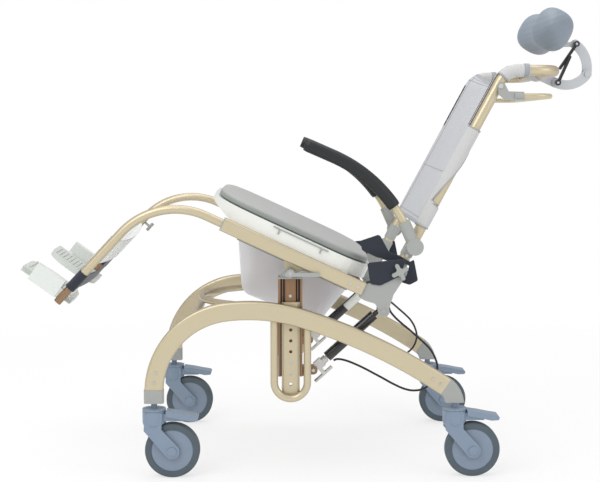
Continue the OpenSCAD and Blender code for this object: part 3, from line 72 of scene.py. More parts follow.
def seat_point(u, y, w):
    """A point given along, across and square to the seat."""
    return MM * Vector((PIVOT.x + u * math.cos(TILT) + w * math.sin(TILT), y,
                        PIVOT.z - u * math.sin(TILT) + w * math.cos(TILT)))


def back_point(n, y, s):
    """A point given behind, across and along the back's uprights."""
    return MM * Vector((RECLINE.x + n * math.cos(LEAN) + s * math.sin(LEAN), y,
                        RECLINE.z - n * math.sin(LEAN) + s * math.cos(LEAN)))


# Camera at the photograph's place
camera_data = bpy.data.cameras.new("camera")
camera_data.lens = 73.34
camera_data.sensor_width = 36
camera = bpy.data.objects.new("camera", camera_data)
camera.location = (-0.07854, -2.98136, 0.789)
camera.rotation_euler = (math.radians(84.696), 0, math.radians(-0.848))
bpy.context.collection.objects.link(camera)
bpy.context.scene.camera = camera


# Meshes
def piece(name, points, faces, body, slot, material, nodes=(), smooth=True):
    """A mesh object that rides on a body and takes the place of nodes."""
    mesh = bpy.data.meshes.new(name)
    mesh.from_pydata([tuple(p) for p in points], [], faces)
    shape = bmesh.new()
    shape.from_mesh(mesh)
    bmesh.ops.recalc_face_normals(shape, faces=shape.faces)
    shape.to_mesh(mesh)
    shape.free()
    mesh.polygons.foreach_set("use_smooth", [smooth] * len(mesh.polygons))
    mesh.materials.append(material)
    made = bpy.data.objects.new(name, mesh)
    bpy.context.collection.objects.link(made)
    if body:
        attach(made, body)
    if nodes:
        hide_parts(*nodes)
    return made


def quads(rows, columns, around=False):
    """Faces of a grid of points, closed round its rows or left open."""
    faces = []
    for i in range(rows - 1):
        for j in range(columns if around else columns - 1):
            m = (j + 1) % columns
            faces.append((i * columns + j, i * columns + m,
                          (i + 1) * columns + m, (i + 1) * columns + j))
    return faces


def grid(name, rows, *facts):
    """An open sheet through rows of points."""
    return piece(name, [p for row in rows for p in row], quads(len(rows), len(rows[0])), *facts)


def loft(name, rows, *facts, capped=True):
    """A skin through closed rows of points."""
    columns, last = len(rows[0]), len(rows) - 1
    faces = quads(len(rows), columns, around=True)
    if capped:
        faces += [tuple(range(columns)), tuple(range(last * columns, (last + 1) * columns))]
    return piece(name, [p for row in rows for p in row], faces, *facts)


def smooth_line(points, steps):
    """More points on a smooth line through the given ones."""
    line = []
    for i in range(len(points) - 1):
        a, b, c, d = (Vector(points[min(max(i + k, 0), len(points) - 1)]) for k in (-1, 0, 1, 2))
        for k in range(steps):
            t = k / steps
            line.append(0.5 * (2 * b + (c - a) * t + (2 * a - 5 * b + 4 * c - d) * t * t
                               + (3 * b - a - 3 * c + d) * t ** 3))
    return line + [Vector(points[-1])]


def tube_rows(line, radius, sides, across=Vector((0, 1, 0))):
    """Rings of points round a line; radius is a number or a function of the share along it."""
    rows = []
    for i, p in enumerate(line):
        way = (line[min(i + 1, len(line) - 1)] - line[max(i - 1, 0)]).normalized()
        side = way.cross(across).normalized()
        up = way.cross(side)
        r = radius(i / (len(line) - 1)) if callable(radius) else radius
        rows.append([p + r * (math.cos(a) * side + math.sin(a) * up)
                     for a in (2 * math.pi * k / sides for k in range(sides))])
    return rows


def modify(made, kind, **settings):
    """Adds a modifier with its settings."""
    modifier = made.modifiers.new(kind.lower(), kind)
    for key, value in settings.items():
        setattr(modifier, key, value)


def thicken(made, thickness, offset=0):
    modify(made, "SOLIDIFY", thickness=thickness, offset=offset)


def plate(name, outline, faces_y, slot, body, to_world, nodes=(), bevel=0.0006, mirror=1):
    """A flat plate cut to an outline, between two planes across the chair, with eased edges."""
    count = len(outline)
    points = [to_world(a, mirror * y, b) for y in faces_y for a, b in outline]
    faces = [tuple(range(count)), tuple(range(2 * count - 1, count - 1, -1))]
    faces += [(i, (i + 1) % count, count + (i + 1) % count, count + i) for i in range(count)]
    made = piece(name, points, faces, body, slot, FINISHES[slot], nodes, smooth=False)
    modify(made, "BEVEL", width=bevel, segments=3, limit_method="ANGLE")
    return made


# Release cables: the same routes as the solids, each from its spring to the rear bracket
CABLE_POINTS = [
    (68, -200, 254), (76, -200, 257), (88, -200, 256), (105, -201, 251), (124, -202, 243),
    (143, -204, 234), (162, -206, 224), (181, -208, 214), (201, -210, 203), (222, -212, 193),
    (237, -213, 188), (251, -214, 186), (268, -215, 188), (284, -216, 196), (298, -216, 211),
    (305, -216, 229), (306, -216, 244), (302, -216, 259), (296, -215, 272), (287, -214, 285),
    (273, -212, 299), (256, -210, 314), (240, -208, 328), (224, -206, 341), (210, -205, 354),
    (199, -204, 367), (194, -204, 379)]
CABLE_DIAMETER = 0.005

# The pad's half sizes, middle and height on the seat, and the height of its side band, painted
# darker as shade
PAD = {"a": 192, "b": 240, "mid": -31, "base": 83.8, "height": 17.5, "painted_shade_band": 13.5, "power": 4.5}


# Shaders: arithmetic on sockets, and one maker of nodes
class Socket:
    """A shader socket that takes part in Python's arithmetic."""

    def __init__(self, nodes, socket):
        self.nodes = nodes
        self.socket = socket

    def math(self, operation, *values):
        return self.nodes.node("ShaderNodeMath", {"operation": operation},
                               dict(enumerate(values)))

    def __add__(self, other):
        return self.math("ADD", self, other)

    __radd__ = __add__

    def __mul__(self, other):
        return self.math("MULTIPLY", self, other)

    __rmul__ = __mul__

    def __sub__(self, other):
        return self.math("SUBTRACT", self, other)

    def __rsub__(self, other):
        return self.math("SUBTRACT", other, self)

    def __pow__(self, other):
        return self.math("POWER", self, other)

    def above(self, level, soft=1e-4):
        """0 below the level and 1 above it."""
        return self.nodes.node("ShaderNodeMapRange", {}, {
            "Value": self, "From Min": level - soft, "From Max": level + soft})

    def between(self, low, high, soft):
        """1 between the two levels and 0 outside them."""
        return self.above(low, soft) - self.above(high, soft)

    def sine(self, period):
        return self.math("SINE", self * (2 * math.pi / period))


def linear(colour):
    """A colour on screen, 0 to 255, as the shader wants it."""
    return tuple((c / 255 / 12.92) if c <= 10 else ((c / 255 + 0.055) / 1.055) ** 2.4
                 for c in colour) + (1,)


class Nodes:
    """A node tree with one maker of nodes."""

    def __init__(self, tree):
        self.tree = tree

    def node(self, kind, settings=None, values=None, output=0):
        made = self.tree.nodes.new(kind)
        for key, value in (settings or {}).items():
            setattr(made, key, value)
        for key, value in (values or {}).items():
            self.feed(made.inputs[key], value)
        return Socket(self, made.outputs[output])

    def feed(self, into, value):
        if isinstance(value, Socket):
            self.tree.links.new(value.socket, into)
        else:
            into.default_value = value

    def seen_by(self, kind):
        """1 for rays of a kind, Camera, Glossy or Transmission, and 0 for others."""
        return self.node("ShaderNodeLightPath", output=f"Is {kind} Ray")


class Finish(Nodes):
    """One material, its principled shader and the nodes that feed it."""

    def __init__(self, name, colour, roughness, **constants):
        self.material = bpy.data.materials.new(name)
        self.material.use_nodes = True
        super().__init__(self.material.node_tree)
        self.shader = self.tree.nodes["Principled BSDF"]
        self.colour = linear(colour)
        self.shader.inputs["Base Color"].default_value = self.colour
        self.shader.inputs["Roughness"].default_value = roughness
        for key, value in constants.items():
            self.shader.inputs[key.replace("_", " ").title()].default_value = value

    def set(self, name, value):
        self.feed(self.shader.inputs[name], value)

    def place(self):
        """The X, Y and Z of the surface in the chair's own frame, in metres."""
        where = self.node("ShaderNodeTexCoord", output="Object")
        return [self.node("ShaderNodeSeparateXYZ", {}, {"Vector": where}, k) for k in range(3)]

    def speckle(self, scale, detail=3.0, stretch=(1, 1, 1)):
        """Noise from 0 to 1 over the object, finer with a higher scale."""
        where = self.node("ShaderNodeTexCoord", output="Object")
        spread = self.node("ShaderNodeMapping", {}, {"Vector": where, "Scale": stretch})
        return self.node("ShaderNodeTexNoise", {}, {"Vector": spread, "Scale": scale,
                                                    "Detail": detail})

    def blend(self, share, one, other):
        """One colour at share 0 and the other at share 1."""
        one, other = (c if isinstance(c, Socket) else (c if len(c) == 4 else linear(c))
                      for c in (one, other))
        return self.node("ShaderNodeMix", {"data_type": "RGBA"}, {0: share, 6: one, 7: other}, 2)

    def bump(self, height, depth):
        """Relief of a depth in metres."""
        self.set("Normal", self.node("ShaderNodeBump", {}, {"Height": height, "Distance": depth}))

    def edge_shade_share(self):
        """0 where the surface faces the eye and 1 at its edge."""
        return self.node("ShaderNodeLayerWeight", {}, {"Blend": 0.5}, 1) ** 1.8

    def shade(self, share, spread):
        """The finish's colour, a little darker to a little lighter."""
        low = tuple(c * (1 - spread) for c in self.colour[:3]) + (1,)
        high = tuple(min(1, c * (1 + spread)) for c in self.colour[:3]) + (1,)
        return self.blend(share, low, high)


FINISHES = {}


def finish(slot):
    """Keeps a finish's maker under its slot's name."""
    def keep(make):
        FINISHES[slot] = make().material
        return make
    return keep


CHAMPAGNE = (203, 191, 161)
# Darker colour painted as shade at the champagne tubes' edges
CHAMPAGNE_EDGE_SHADE = (132, 103, 74)
CASTING = (161, 164, 161)
BRONZE = (150, 122, 94)
ALONG_PROFILE = (1, 1, 0.03)


def metallic_coat(made, edge=CHAMPAGNE_EDGE_SHADE):
    """Fine flake and faint rubbing over painted metal, with painted shade that darkens the colour
    where the surface turns from the eye.
    """
    flake = made.speckle(2600, 2.0)
    cloud = made.speckle(9, 4.0)
    face = made.shade(flake * 0.6 + cloud * 0.4, 0.09)
    # Painted shade: the colour turns to the edge colour where the surface turns from the eye
    made.set("Base Color", made.blend(made.edge_shade_share() * 0.9, face, edge))
    made.set("Roughness", cloud * 0.12 + 0.27)
    made.bump(flake, 0.00001)


@finish("champagne_paint")
def champagne():
    made = Finish("champagne_coat", CHAMPAGNE, 0.34, metallic=0.45, coat_weight=0.25,
                  coat_roughness=0.2)
    metallic_coat(made)
    return made


def moulding(name, colour, roughness, grain=900, depth=0.00008, **constants):
    """Moulded plastic with a fine grain and faint flow marks."""
    made = Finish(name, colour, roughness, **constants)
    grain_noise = made.speckle(grain, 4.0)
    flow = made.speckle(14, 3.0)
    made.set("Base Color", made.shade(flow * 0.7 + grain_noise * 0.3, 0.07))
    made.set("Roughness", flow * 0.14 + (roughness - 0.07))
    made.bump(grain_noise, depth)
    return made


@finish("grey_plastic")
def grey_plastic():
    return moulding("grey_casting", CASTING, 0.46)


@finish("steel")
def steel():
    made = Finish("bright_steel", (196, 196, 192), 0.3, metallic=1.0)
    lines = made.speckle(700, 4.0, (1, 1, 8))
    made.set("Base Color", made.shade(made.speckle(40), 0.12))
    made.set("Roughness", lines * 0.2 + 0.2)
    made.bump(lines, 0.00004)
    return made


@finish("bronze")
def bronze():
    made = Finish("bronze_anodised", BRONZE, 0.36, metallic=0.75)
    lines = made.speckle(900, 3.0, ALONG_PROFILE)
    made.set("Base Color", made.shade(lines * 0.6 + made.speckle(20) * 0.4, 0.16))
    made.set("Roughness", lines * 0.18 + 0.26)
    made.bump(lines, 0.00005)
    return made


@finish("white_shell")
def white_shell():
    return moulding("white_shell", (229, 231, 226), 0.32, 500, 0.00005, coat_weight=0.15)


@finish("seat_foam")
def seat_foam():
    made = Finish("seat_skin", (172, 173, 171), 0.5)
    x, _, z = made.place()
    height = x * math.sin(TILT) + z * math.cos(TILT)
    level = PIVOT.x * math.sin(TILT) + PIVOT.z * math.cos(TILT) + PAD["base"]
    # Painted shade: the pad's side, below this level, is painted darker than its top
    top = height.above(MM * (level + PAD["painted_shade_band"]), 0.003)
    cloud = made.speckle(12, 4.0)
    painted_shade_band = made.blend(cloud, (134, 139, 137), (146, 150, 147))
    made.set("Base Color", made.blend(top, painted_shade_band, made.shade(cloud, 0.05)))
    made.set("Roughness", cloud * 0.12 + 0.46)
    made.bump(made.speckle(1100, 3.0) + cloud * 0.6, 0.00008)
    return made


@finish("pan_plastic")
def pan_plastic():
    return moulding("pan_plastic", (220, 219, 222), 0.36, 420)


def cloth(name, colour, across, along, period=0.0022, spread=0.1, depth=0.00012):
    """Plain weave: threads over and under along two directions."""
    made = Finish(name, colour, 0.85, sheen_weight=0.25, sheen_roughness=0.5)
    x, y, z = made.place()
    warp = (x * across[0] + y * across[1] + z * across[2]).sine(period)
    weft = (x * along[0] + y * along[1] + z * along[2]).sine(period)
    weave = warp * weft * 0.5 + 0.5
    cloud = made.speckle(18, 4.0)
    made.set("Base Color", made.shade(weave * 0.6 + cloud * 0.4, spread))
    made.set("Roughness", cloud * 0.1 + 0.8)
    made.bump(weave, depth)
    return made


ACROSS = (0, 1, 0)
UP_BACK = (math.sin(LEAN), 0, math.cos(LEAN))
ALONG_SEAT = (math.cos(TILT), 0, -math.sin(TILT))
UP_SEAT = (math.sin(TILT), 0, math.cos(TILT))


@finish("mesh_fabric")
def mesh_fabric():
    return cloth("sling_cloth", (188, 189, 193), ACROSS, UP_BACK)


@finish("navy_webbing")
def navy_webbing():
    return cloth("navy_webbing", (38, 43, 54), UP_SEAT, ALONG_SEAT, 0.003, 0.2, 0.00015)


@finish("plate_plastic")
def plate_plastic():
    return moulding("footplate_plastic", (202, 206, 201), 0.42, 1500, 0.00003)


@finish("black_paint")
def black_paint():
    made = Finish("black_lacquer", (30, 30, 32), 0.22, coat_weight=0.4)
    cloud = made.speckle(60, 4.0)
    made.set("Base Color", made.shade(cloud, 0.3))
    made.set("Roughness", cloud * 0.14 + 0.16)
    made.bump(cloud, 0.00003)
    return made


@finish("cable_black")
def cable_black():
    return moulding("cable_sheath", (26, 26, 28), 0.42, 1500, 0.00005)


@finish("black_foam")
def black_foam():
    made = Finish("grip_foam", (25, 27, 29), 0.5)
    cells = made.speckle(1700, 3.0)
    made.set("Base Color", made.shade(cells + made.speckle(30) * 0.4, 0.25))
    made.set("Roughness", made.speckle(25) * 0.12 + 0.42)
    made.bump(cells, 0.0001)
    return made


@finish("link_metal")
def link_metal():
    made = Finish("link_metal", (198, 201, 205), 0.42, metallic=0.35)
    # Painted shade: the link metal darkens to this colour at its edges
    metallic_coat(made, (116, 120, 126))
    return made


@finish("headrest_foam")
def headrest_foam():
    made = Finish("headrest_skin", (132, 143, 155), 0.5)
    cloud = made.speckle(10, 4.0)
    x, _, z = made.place()
    lines = (z * 0.9 - x * 0.35 + made.speckle(3.5, 1.0) * 0.03).sine(0.012)
    fine = made.speckle(1200, 2.0)
    made.set("Base Color", made.shade(cloud * 0.6 + fine * 0.4, 0.08))
    made.set("Roughness", cloud * 0.14 + 0.42)
    made.bump(lines * 0.5 + fine * 0.25, 0.00045)
    return made


# The wheels' axles along the chair and their radii in millimetres, and the core's groove, given
# relief and painted dark as shade, in metres
WHEEL_CENTRES = (-327, 353)
WHEEL_R = 62
WHEEL_CORE_R = 48.15
CORE_GROOVE_AND_SHADE = (0.0462, 0.0481)


@finish("caster_plastic")
def caster_plastic():
    return moulding("caster_nylon", (128, 144, 163), 0.42, 700)


def wheel_finish():
    """Blue-grey core inside a dark tyre, told apart by the distance from the axle."""
    made = Finish("wheel_and_tyre", (129, 143, 161), 0.42)
    x, _, z = made.place()
    radii = [(((x - cx * MM) ** 2) + ((z - WHEEL_R * MM) ** 2)) ** 0.5 for cx in WHEEL_CENTRES]
    radius = radii[0].math("MINIMUM", *radii)
    tyre = radius.above(WHEEL_CORE_R * MM)
    groove_relief_and_shade = radius.between(*CORE_GROOVE_AND_SHADE, 1e-4)
    cloud = made.speckle(30, 4.0)
    # Painted shade: the groove near the core's rim is painted dark, as the gap to the tyre is in
    # shade
    core = made.blend(groove_relief_and_shade * 0.65, made.shade(cloud, 0.08), (72, 80, 98))
    rubber = made.blend(cloud, (72, 84, 92), (88, 100, 106))
    made.set("Base Color", made.blend(tyre, core, rubber))
    made.set("Roughness", tyre * 0.25 + cloud * 0.1 + 0.36)
    made.bump(made.speckle(800) + groove_relief_and_shade * -2.0, 0.0001)
    return made.material


def two_part(name, base, inner, inner_rough, mask):
    """Two finishes on one node, parted by a mask of the surface's place."""
    made = Finish(name, base, 0.36, metallic=0.0)
    share = mask(*made.place())
    cloud = made.speckle(14, 3.0)
    grain = made.speckle(1800, 2.0)
    made.set("Base Color", made.blend(share, made.shade(cloud * 0.5 + grain * 0.5, 0.09), inner))
    made.set("Metallic", 0.45 - share * 0.45)
    made.set("Roughness", share * (inner_rough - 0.32) + 0.3 + cloud * 0.1)
    made.bump(grain, 0.00006)
    return made.material


# Where a casting meets the tube of its part: a start, a way and a length in metres
ARM_HINGE = back_point(4, 0, 65)
ARM_WAY = Vector((-math.sin(math.radians(24)), 0, math.cos(math.radians(24))))
ARM_CASTING_L = 0.062
RELEASE_PIVOT = back_point(4, 0, 472)
RELEASE_CASTING_L = 0.053
FOOT_END = Vector((-0.555508, 0, 0.428690))
FOOT_WAY = Vector((0.7313537, 0, -0.6819984))
FOOT_CASTING_L = -0.0095


def before(start, way, length):
    """A mask of the surface that lies before a length along a way from the start."""
    def mask(x, y, z):
        along = (x - start[0]) * way[0] + (z - start[2]) * way[2]
        return 1 - along.above(length)
    return mask


def assign(material, *nodes):
    """Puts a material on the solids of the nodes."""
    for node in nodes:
        made = frame["nodes"][node]
        if made.material_slots:
            for held in made.material_slots:
                held.material = material
        else:
            made.data.materials.append(material)


for entry in frame["record"]["subparts"]:
    assign(FINISHES[entry["material_slot"]], entry["node"])
assign(wheel_finish(), *[f"{end}_{side}_wheel" for end in ("front", "rear") for side in SIDES])
assign(two_part("armrest_finish", CHAMPAGNE, CASTING, 0.46,
                before(ARM_HINGE, ARM_WAY, ARM_CASTING_L)), "left_armrest", "right_armrest")
assign(two_part("release_bar_finish", CHAMPAGNE, CASTING, 0.46,
                before(RELEASE_PIVOT, (1, 0, 0), RELEASE_CASTING_L)), "release_bar")
assign(two_part("foot_hanger_finish", BRONZE, (220, 224, 220), 0.42,
                before(FOOT_END, FOOT_WAY, FOOT_CASTING_L)),
       "left_foot_hanger", "right_foot_hanger")


# The column's channel, painted dark as shade, and the ridge inside it, painted light as a
# highlight, in metres from its middle
CHANNEL_SHADE = (0.0125, 0.0225)
RIDGE_HIGHLIGHT = (0.0166, 0.0176)


def column_finish():
    """Bronze anodised profile with painted shade in the channels that run up near its edges and a
    painted highlight on the ridge inside each.
    """
    made = Finish("column_bronze", (150, 118, 90), 0.36, metallic=0.6)
    x = made.place()[0]
    off = x.math("ABSOLUTE", x - PIVOT.x * MM)
    channel_shade = off.between(*CHANNEL_SHADE, 0.0004)
    ridge_highlight = off.between(*RIDGE_HIGHLIGHT, 0.0003)
    lines = made.speckle(900, 3.0, ALONG_PROFILE)
    # Painted shade in the channels and a painted highlight on the ridge inside them
    tone = made.blend(channel_shade - ridge_highlight, made.shade(lines, 0.14), (62, 48, 40))
    made.set("Base Color", made.blend(ridge_highlight, tone, (196, 168, 140)))
    made.set("Roughness", lines * 0.18 + 0.26)
    made.bump(lines, 0.00002)
    return made.material


assign(column_finish(), "columns")


def inside(level):
    """A mask of the surface that lies nearer to the chair's middle than the screw heads."""
    return lambda x, y, z: 1 - y.math("ABSOLUTE", y).above(level)


# How far out the screw heads begin, in metres from the chair's middle
SCREW_LEVELS = {"seat_fixings": 0.2626, "back_fittings": 0.2334}
for part, level in SCREW_LEVELS.items():
    assign(two_part(part + "_finish", (200, 200, 196), CASTING, 0.46, inside(level)), part)


# Cords: each sheathed cable is a fixed tube on a smooth line between its spring and the tilting
# seat
for side, sign in SIDES.items():
    route = [MM * Vector((x + CHASSIS_X, -sign * y, z)) for x, y, z in CABLE_POINTS]
    line = smooth_line(route, 4)
    cable = loft(f"{side}_release_cable", tube_rows(line, CABLE_DIAMETER / 2, 14), None,
                 "cable_black", FINISHES["cable_black"], ["release_cables"])
    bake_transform(cable)


# Seat pad: a closed moulded cushion with an undercut edge, a rolled lip and a dished top
PAD_SECTION = [(0.95, 0.0), (0.968, 0.0), (0.976, 0.06), (0.99, 0.1), (0.999, 0.2), (1.0, 0.36),
               (0.999, 0.56), (0.993, 0.74), (0.98, 0.87), (0.955, 0.95), (0.91, 0.99), (0.84, 1.0),
               (0.7, 0.985), (0.5, 0.965), (0.3, 0.945), (0.12, 0.937), (0.02, 0.935)]


def seat_pad():
    steps, power = 120, 2 / PAD["power"]
    unit = []
    for t in (2 * math.pi * k / steps for k in range(steps)):
        c, s = math.cos(t), math.sin(t)
        unit.append((math.copysign(abs(c) ** power, c), math.copysign(abs(s) ** power, s)))
    rows = [[seat_point(PAD["mid"] + PAD["a"] * share * c, PAD["b"] * share * s,
                        PAD["base"] + PAD["height"] * height) for c, s in unit]
            for share, height in PAD_SECTION]
    pad = loft("seat_cushion", rows, "seat", "seat_foam", FINISHES["seat_foam"], ["seat_pad"])
    modify(pad, "SUBSURF", levels=1, render_levels=1)


seat_pad()


# Headrest: moulded foam, two lobes and a drawn-in waist that cups the head
HEAD = {"half": 155, "behind": 55, "up": 663, "depth": 50, "height": 52, "cup": 20, "square": 2.5}
STEM_PIN = (147.984, 670.992)
STEM_R = 11.5
STEM_L = 46
STEM_TURN = math.radians(30)
STEM_FACES = (-8.3, -3.3)


def half_round(middle, first, last):
    return [(middle[0] + STEM_R * math.cos(a), middle[1] + STEM_R * math.sin(a))
            for a in (math.radians(d) for d in range(first, last, 12))]


def headrest():
    rings, sides = 72, 56
    square = HEAD["square"]
    rows = []
    for k in range(rings + 1):
        t = -math.cos(math.pi * k / rings)
        swell = math.exp(-((abs(t) - 0.6) / 0.34) ** 2)
        end = math.sqrt(max(0.0004, 1 - abs(t) ** 3.2))
        depth = HEAD["depth"] * (0.62 + 0.38 * swell) * end
        height = HEAD["height"] * (0.8 + 0.2 * swell) * end
        behind = HEAD["cup"] * (1 - t * t)
        row = []
        for a in (2 * math.pi * j / sides for j in range(sides)):
            r = (abs(math.cos(a)) ** square + abs(math.sin(a)) ** square) ** (-1 / square)
            row.append(back_point(HEAD["behind"] + behind + depth * math.cos(a) * r,
                                  HEAD["half"] * t, HEAD["up"] + height * math.sin(a) * r))
        rows.append(row)
    pad = loft("head_cushion", rows, "head_pad", "headrest_foam", FINISHES["headrest_foam"],
               ["headrest_pad"])
    tip = (STEM_PIN[0] - STEM_L * math.cos(STEM_TURN), STEM_PIN[1] - STEM_L * math.sin(STEM_TURN))
    plate("headrest_stem", half_round(STEM_PIN, -120, 61) + half_round(tip, 60, 241), STEM_FACES,
          "link_metal", "head_pad", back_point)


headrest()


# Arm grips: closed-cell foam pushed over the arm tube, with soft ends
ARM_TUBE = {"bend_r": 327, "turn": math.radians(42.4), "run": 40, "front": 67.3, "y": 248}
GRIP_LEAD = 102
GRIP_R = 15
GRIP_ROUNDING = 1.2


def arm_grip(side, sign):
    bend_r, turn, run = (ARM_TUBE[k] for k in ("bend_r", "turn", "run"))
    start_turn = (GRIP_LEAD - run) / bend_r
    way = Matrix.Rotation(math.radians(90 - 142), 3, "Y")

    def at(n, s):
        """A point of the arm's plane: out from its start and along it."""
        local = way @ Vector((n, 0, s))
        return back_point(4 + local.x, sign * ARM_TUBE["y"], 65 + local.z)

    line = []
    for k in range(25):
        a = start_turn + (turn - start_turn) * k / 24
        line.append(at(-bend_r + bend_r * math.cos(a), run + bend_r * math.sin(a)))
    end_n, end_s = -bend_r + bend_r * math.cos(turn), run + bend_r * math.sin(turn)
    for d in (ARM_TUBE["front"] * k / 8 for k in range(1, 9)):
        line.append(at(end_n - d * math.sin(turn), end_s + d * math.cos(turn)))

    def radius(share):
        near_end = min(share, 1 - share) * 32
        return MM * (GRIP_R - GRIP_ROUNDING * max(0, 1 - near_end) ** 2)

    grip = loft(f"{side}_grip_foam", tube_rows(line, radius, 40), f"{side}_arm", "black_foam",
                FINISHES["black_foam"], [f"{side}_arm_grip"])


for side, sign in SIDES.items():
    arm_grip(side, sign)


# Back sling: millimetres along the back's uprights and off their axes; the hem is in metres
UPRIGHT = 480
SLING_LOW = 112
BEND_R = 50
SLING_TURN = math.radians(38)
HALF_SPAN = 215
SLING_SAG = 34
SLING_FRONT = 12.5 + 1.5 + 0.9
SLING_RIPPLE = 1.6
HEM = (0.0055, 0.0014)
SLING_HEMS = {"sling_hem_low": 0.004, "sling_hem_top": 0.996}
SLING_SEAMS = {"seam_low": 0.035, "seam_mid": 0.35, "seam_high": 0.955, "seam_top": 0.975}
HOOKS = cloth("hook_tape", (52, 54, 58), ACROSS, UP_BACK, 0.0016, 0.4).material
BINDING = cloth("sling_binding", (158, 162, 166), ACROSS, UP_BACK, 0.0016, 0.2).material
MESH_CLOTH = cloth("sleeve_mesh", (196, 197, 196), ACROSS, UP_BACK, 0.004, 0.16, 0.00015).material
CALF_CLOTH = cloth("calf_mesh", (228, 230, 228), ACROSS, UP_BACK, 0.004, 0.08, 0.00012).material


def sling_path(share):
    """The sling's line up the back: offset behind, place along and turn, in the back's frame."""
    straight = UPRIGHT - SLING_LOW
    total = straight + BEND_R * SLING_TURN
    d = share * total
    if d <= straight:
        return 0, SLING_LOW + d, 0
    a = (d - straight) / BEND_R
    return BEND_R * (1 - math.cos(a)), UPRIGHT + BEND_R * math.sin(a), a


def sling_point(share, across, lift=0.0):
    """A point on the sling: share up the back, across from -1 to 1, lifted towards the sitter."""
    n, s, a = sling_path(share)
    edge = min(1, 0.55 + 0.9 * share)
    middle = 1 - across * across
    sag = SLING_SAG * edge * middle
    ripple = SLING_RIPPLE * noise.noise(Vector((across * 2.2, share * 3.0, 0.4))) * middle
    off = -SLING_FRONT + sag + ripple - lift
    return back_point(n + off * math.cos(a), HALF_SPAN * across, s - off * math.sin(a))


def back_sling():
    rows_n, columns = 70, 49
    panel = grid("sling_panel", [[sling_point(i / (rows_n - 1), -1 + 2 * j / (columns - 1))
                                  for j in range(columns)] for i in range(rows_n)],
                 "back", "mesh_fabric", FINISHES["mesh_fabric"], ["back_sling"])
    thicken(panel, 0.0016)
    for name, share in SLING_HEMS.items():
        rows = []
        for p in (sling_point(share, -0.99 + 1.98 * j / 48) for j in range(49)):
            up = (sling_point(min(share + 0.01, 1), 0) - sling_point(max(share - 0.01, 0), 0))
            up.normalize()
            out = up.cross(Vector((0, 1, 0)))
            rows.append([p + HEM[0] * math.cos(a) * up + HEM[1] * math.sin(a) * out
                         for a in (2 * math.pi * k / 10 for k in range(10))])
        loft(name, rows, "back", "mesh_fabric", BINDING)
    for name, share in SLING_SEAMS.items():
        line = [sling_point(share, -0.985 + 1.97 * j / 48, 1.0) for j in range(49)]
        seam(name, line, Vector((1, 0, 0)))
    for side, sign in SIDES.items():
        line = [sling_point(0.02 + 0.96 * k / 60, sign * 0.93, 1.0) for k in range(61)]
        seam(f"{side}_sling_seam", line, Vector((0, 1, 0)))
        line = [sling_point(0.63 + 0.29 * k / 70, sign * 0.99, 1.6) for k in range(71)]
        hook_tape(f"{side}_sling_hooks", line, [Vector((0, -sign, 0))] * 71)
    for side, sign in SIDES.items():
        sling_sleeve(side, sign)
        push_sleeve(side, sign)


def seam(name, line, across):
    """A row of stitches, as a thin raised line."""
    return loft(name, tube_rows(line, 0.0007, 6, across), "back", "mesh_fabric", BINDING)


# Where the hook tape's two edges lie from the sewn edge, and how ragged each is
HOOK_EDGES = ((-0.8, 3.6), (3.8, 5.0))


def hook_tape(name, line, inward):
    """Ragged hook tape that shows beside a sewn edge."""
    edges = [[p + way * MM * (base + spread * noise.noise(Vector((k * 0.71, way.y, base))))
              for k, (p, way) in enumerate(zip(line, inward))]
             for base, spread in HOOK_EDGES]
    made = grid(name, edges, "back", "mesh_fabric", HOOKS)
    thicken(made, 0.0012)
    return made


def rise(t):
    """Smooth step from 0 to 1."""
    t = min(1, max(0, t))
    return t * t * (3 - 2 * t)


def free_edge(share):
    """How far round the tube the sleeve reaches at a share of its height, in degrees."""
    lower = 1 - rise((share - 0.2) / 0.06)
    upper = rise(0.77 * share + 0.014)
    return 24 + 244 * max(lower, upper)


SLEEVE_R = 14.9
SLEEVE_LOW, SLEEVE_HIGH = SLING_LOW + 1, SLING_LOW + 250
SLEEVE_HOOKS = {"low": (2, 9), "high": (34, 42)}


def sling_sleeve(side, sign):
    """Mesh sleeve that wraps an upright from the panel's edge, with a scooped opening."""
    rows_n, columns = 44, 22
    rows = []
    for share in (i / (rows_n - 1) for i in range(rows_n)):
        s = SLEEVE_LOW + share * (SLEEVE_HIGH - SLEEVE_LOW)
        reach = free_edge(share)
        turns = (math.radians(180 + reach * j / (columns - 1)) for j in range(columns))
        rows.append([back_point(SLEEVE_R * math.cos(a),
                                sign * (HALF_SPAN - SLEEVE_R * math.sin(a)), s) for a in turns])
    edge = [row[-1] for row in rows]
    sleeve = grid(f"{side}_sling_sleeve", rows, "back", "mesh_fabric", MESH_CLOTH)
    thicken(sleeve, 0.001)
    up_tube = (back_point(0, sign * HALF_SPAN, SLEEVE_HIGH)
               - back_point(0, sign * HALF_SPAN, SLEEVE_LOW)).normalized()
    for part, line, across in (("edge", edge, Vector((0, 1, 0.01))), ("low", rows[0], up_tube),
                               ("top", rows[-1], up_tube)):
        loft(f"{side}_sleeve_{part}", tube_rows(line, 0.0016, 8, across), "back",
                          "mesh_fabric", BINDING)
    for part, (first, last) in SLEEVE_HOOKS.items():
        inward = [(rows[i][-2] - rows[i][-1]).normalized() for i in range(first, last)]
        fine = [edge[first + k // 4].lerp(edge[min(first + k // 4 + 1, last)], (k % 4) / 4)
                for k in range(4 * (last - first))]
        hook_tape(f"{side}_sleeve_hooks_{part}", fine,
                               [inward[k // 4] for k in range(len(fine))])


PUSH_START, PUSH_TURN = math.radians(14), math.radians(62)
PUSH_RUN = 24
PUSH_SLEEVE_R, PUSH_BAND_R = 0.0146, 0.0152


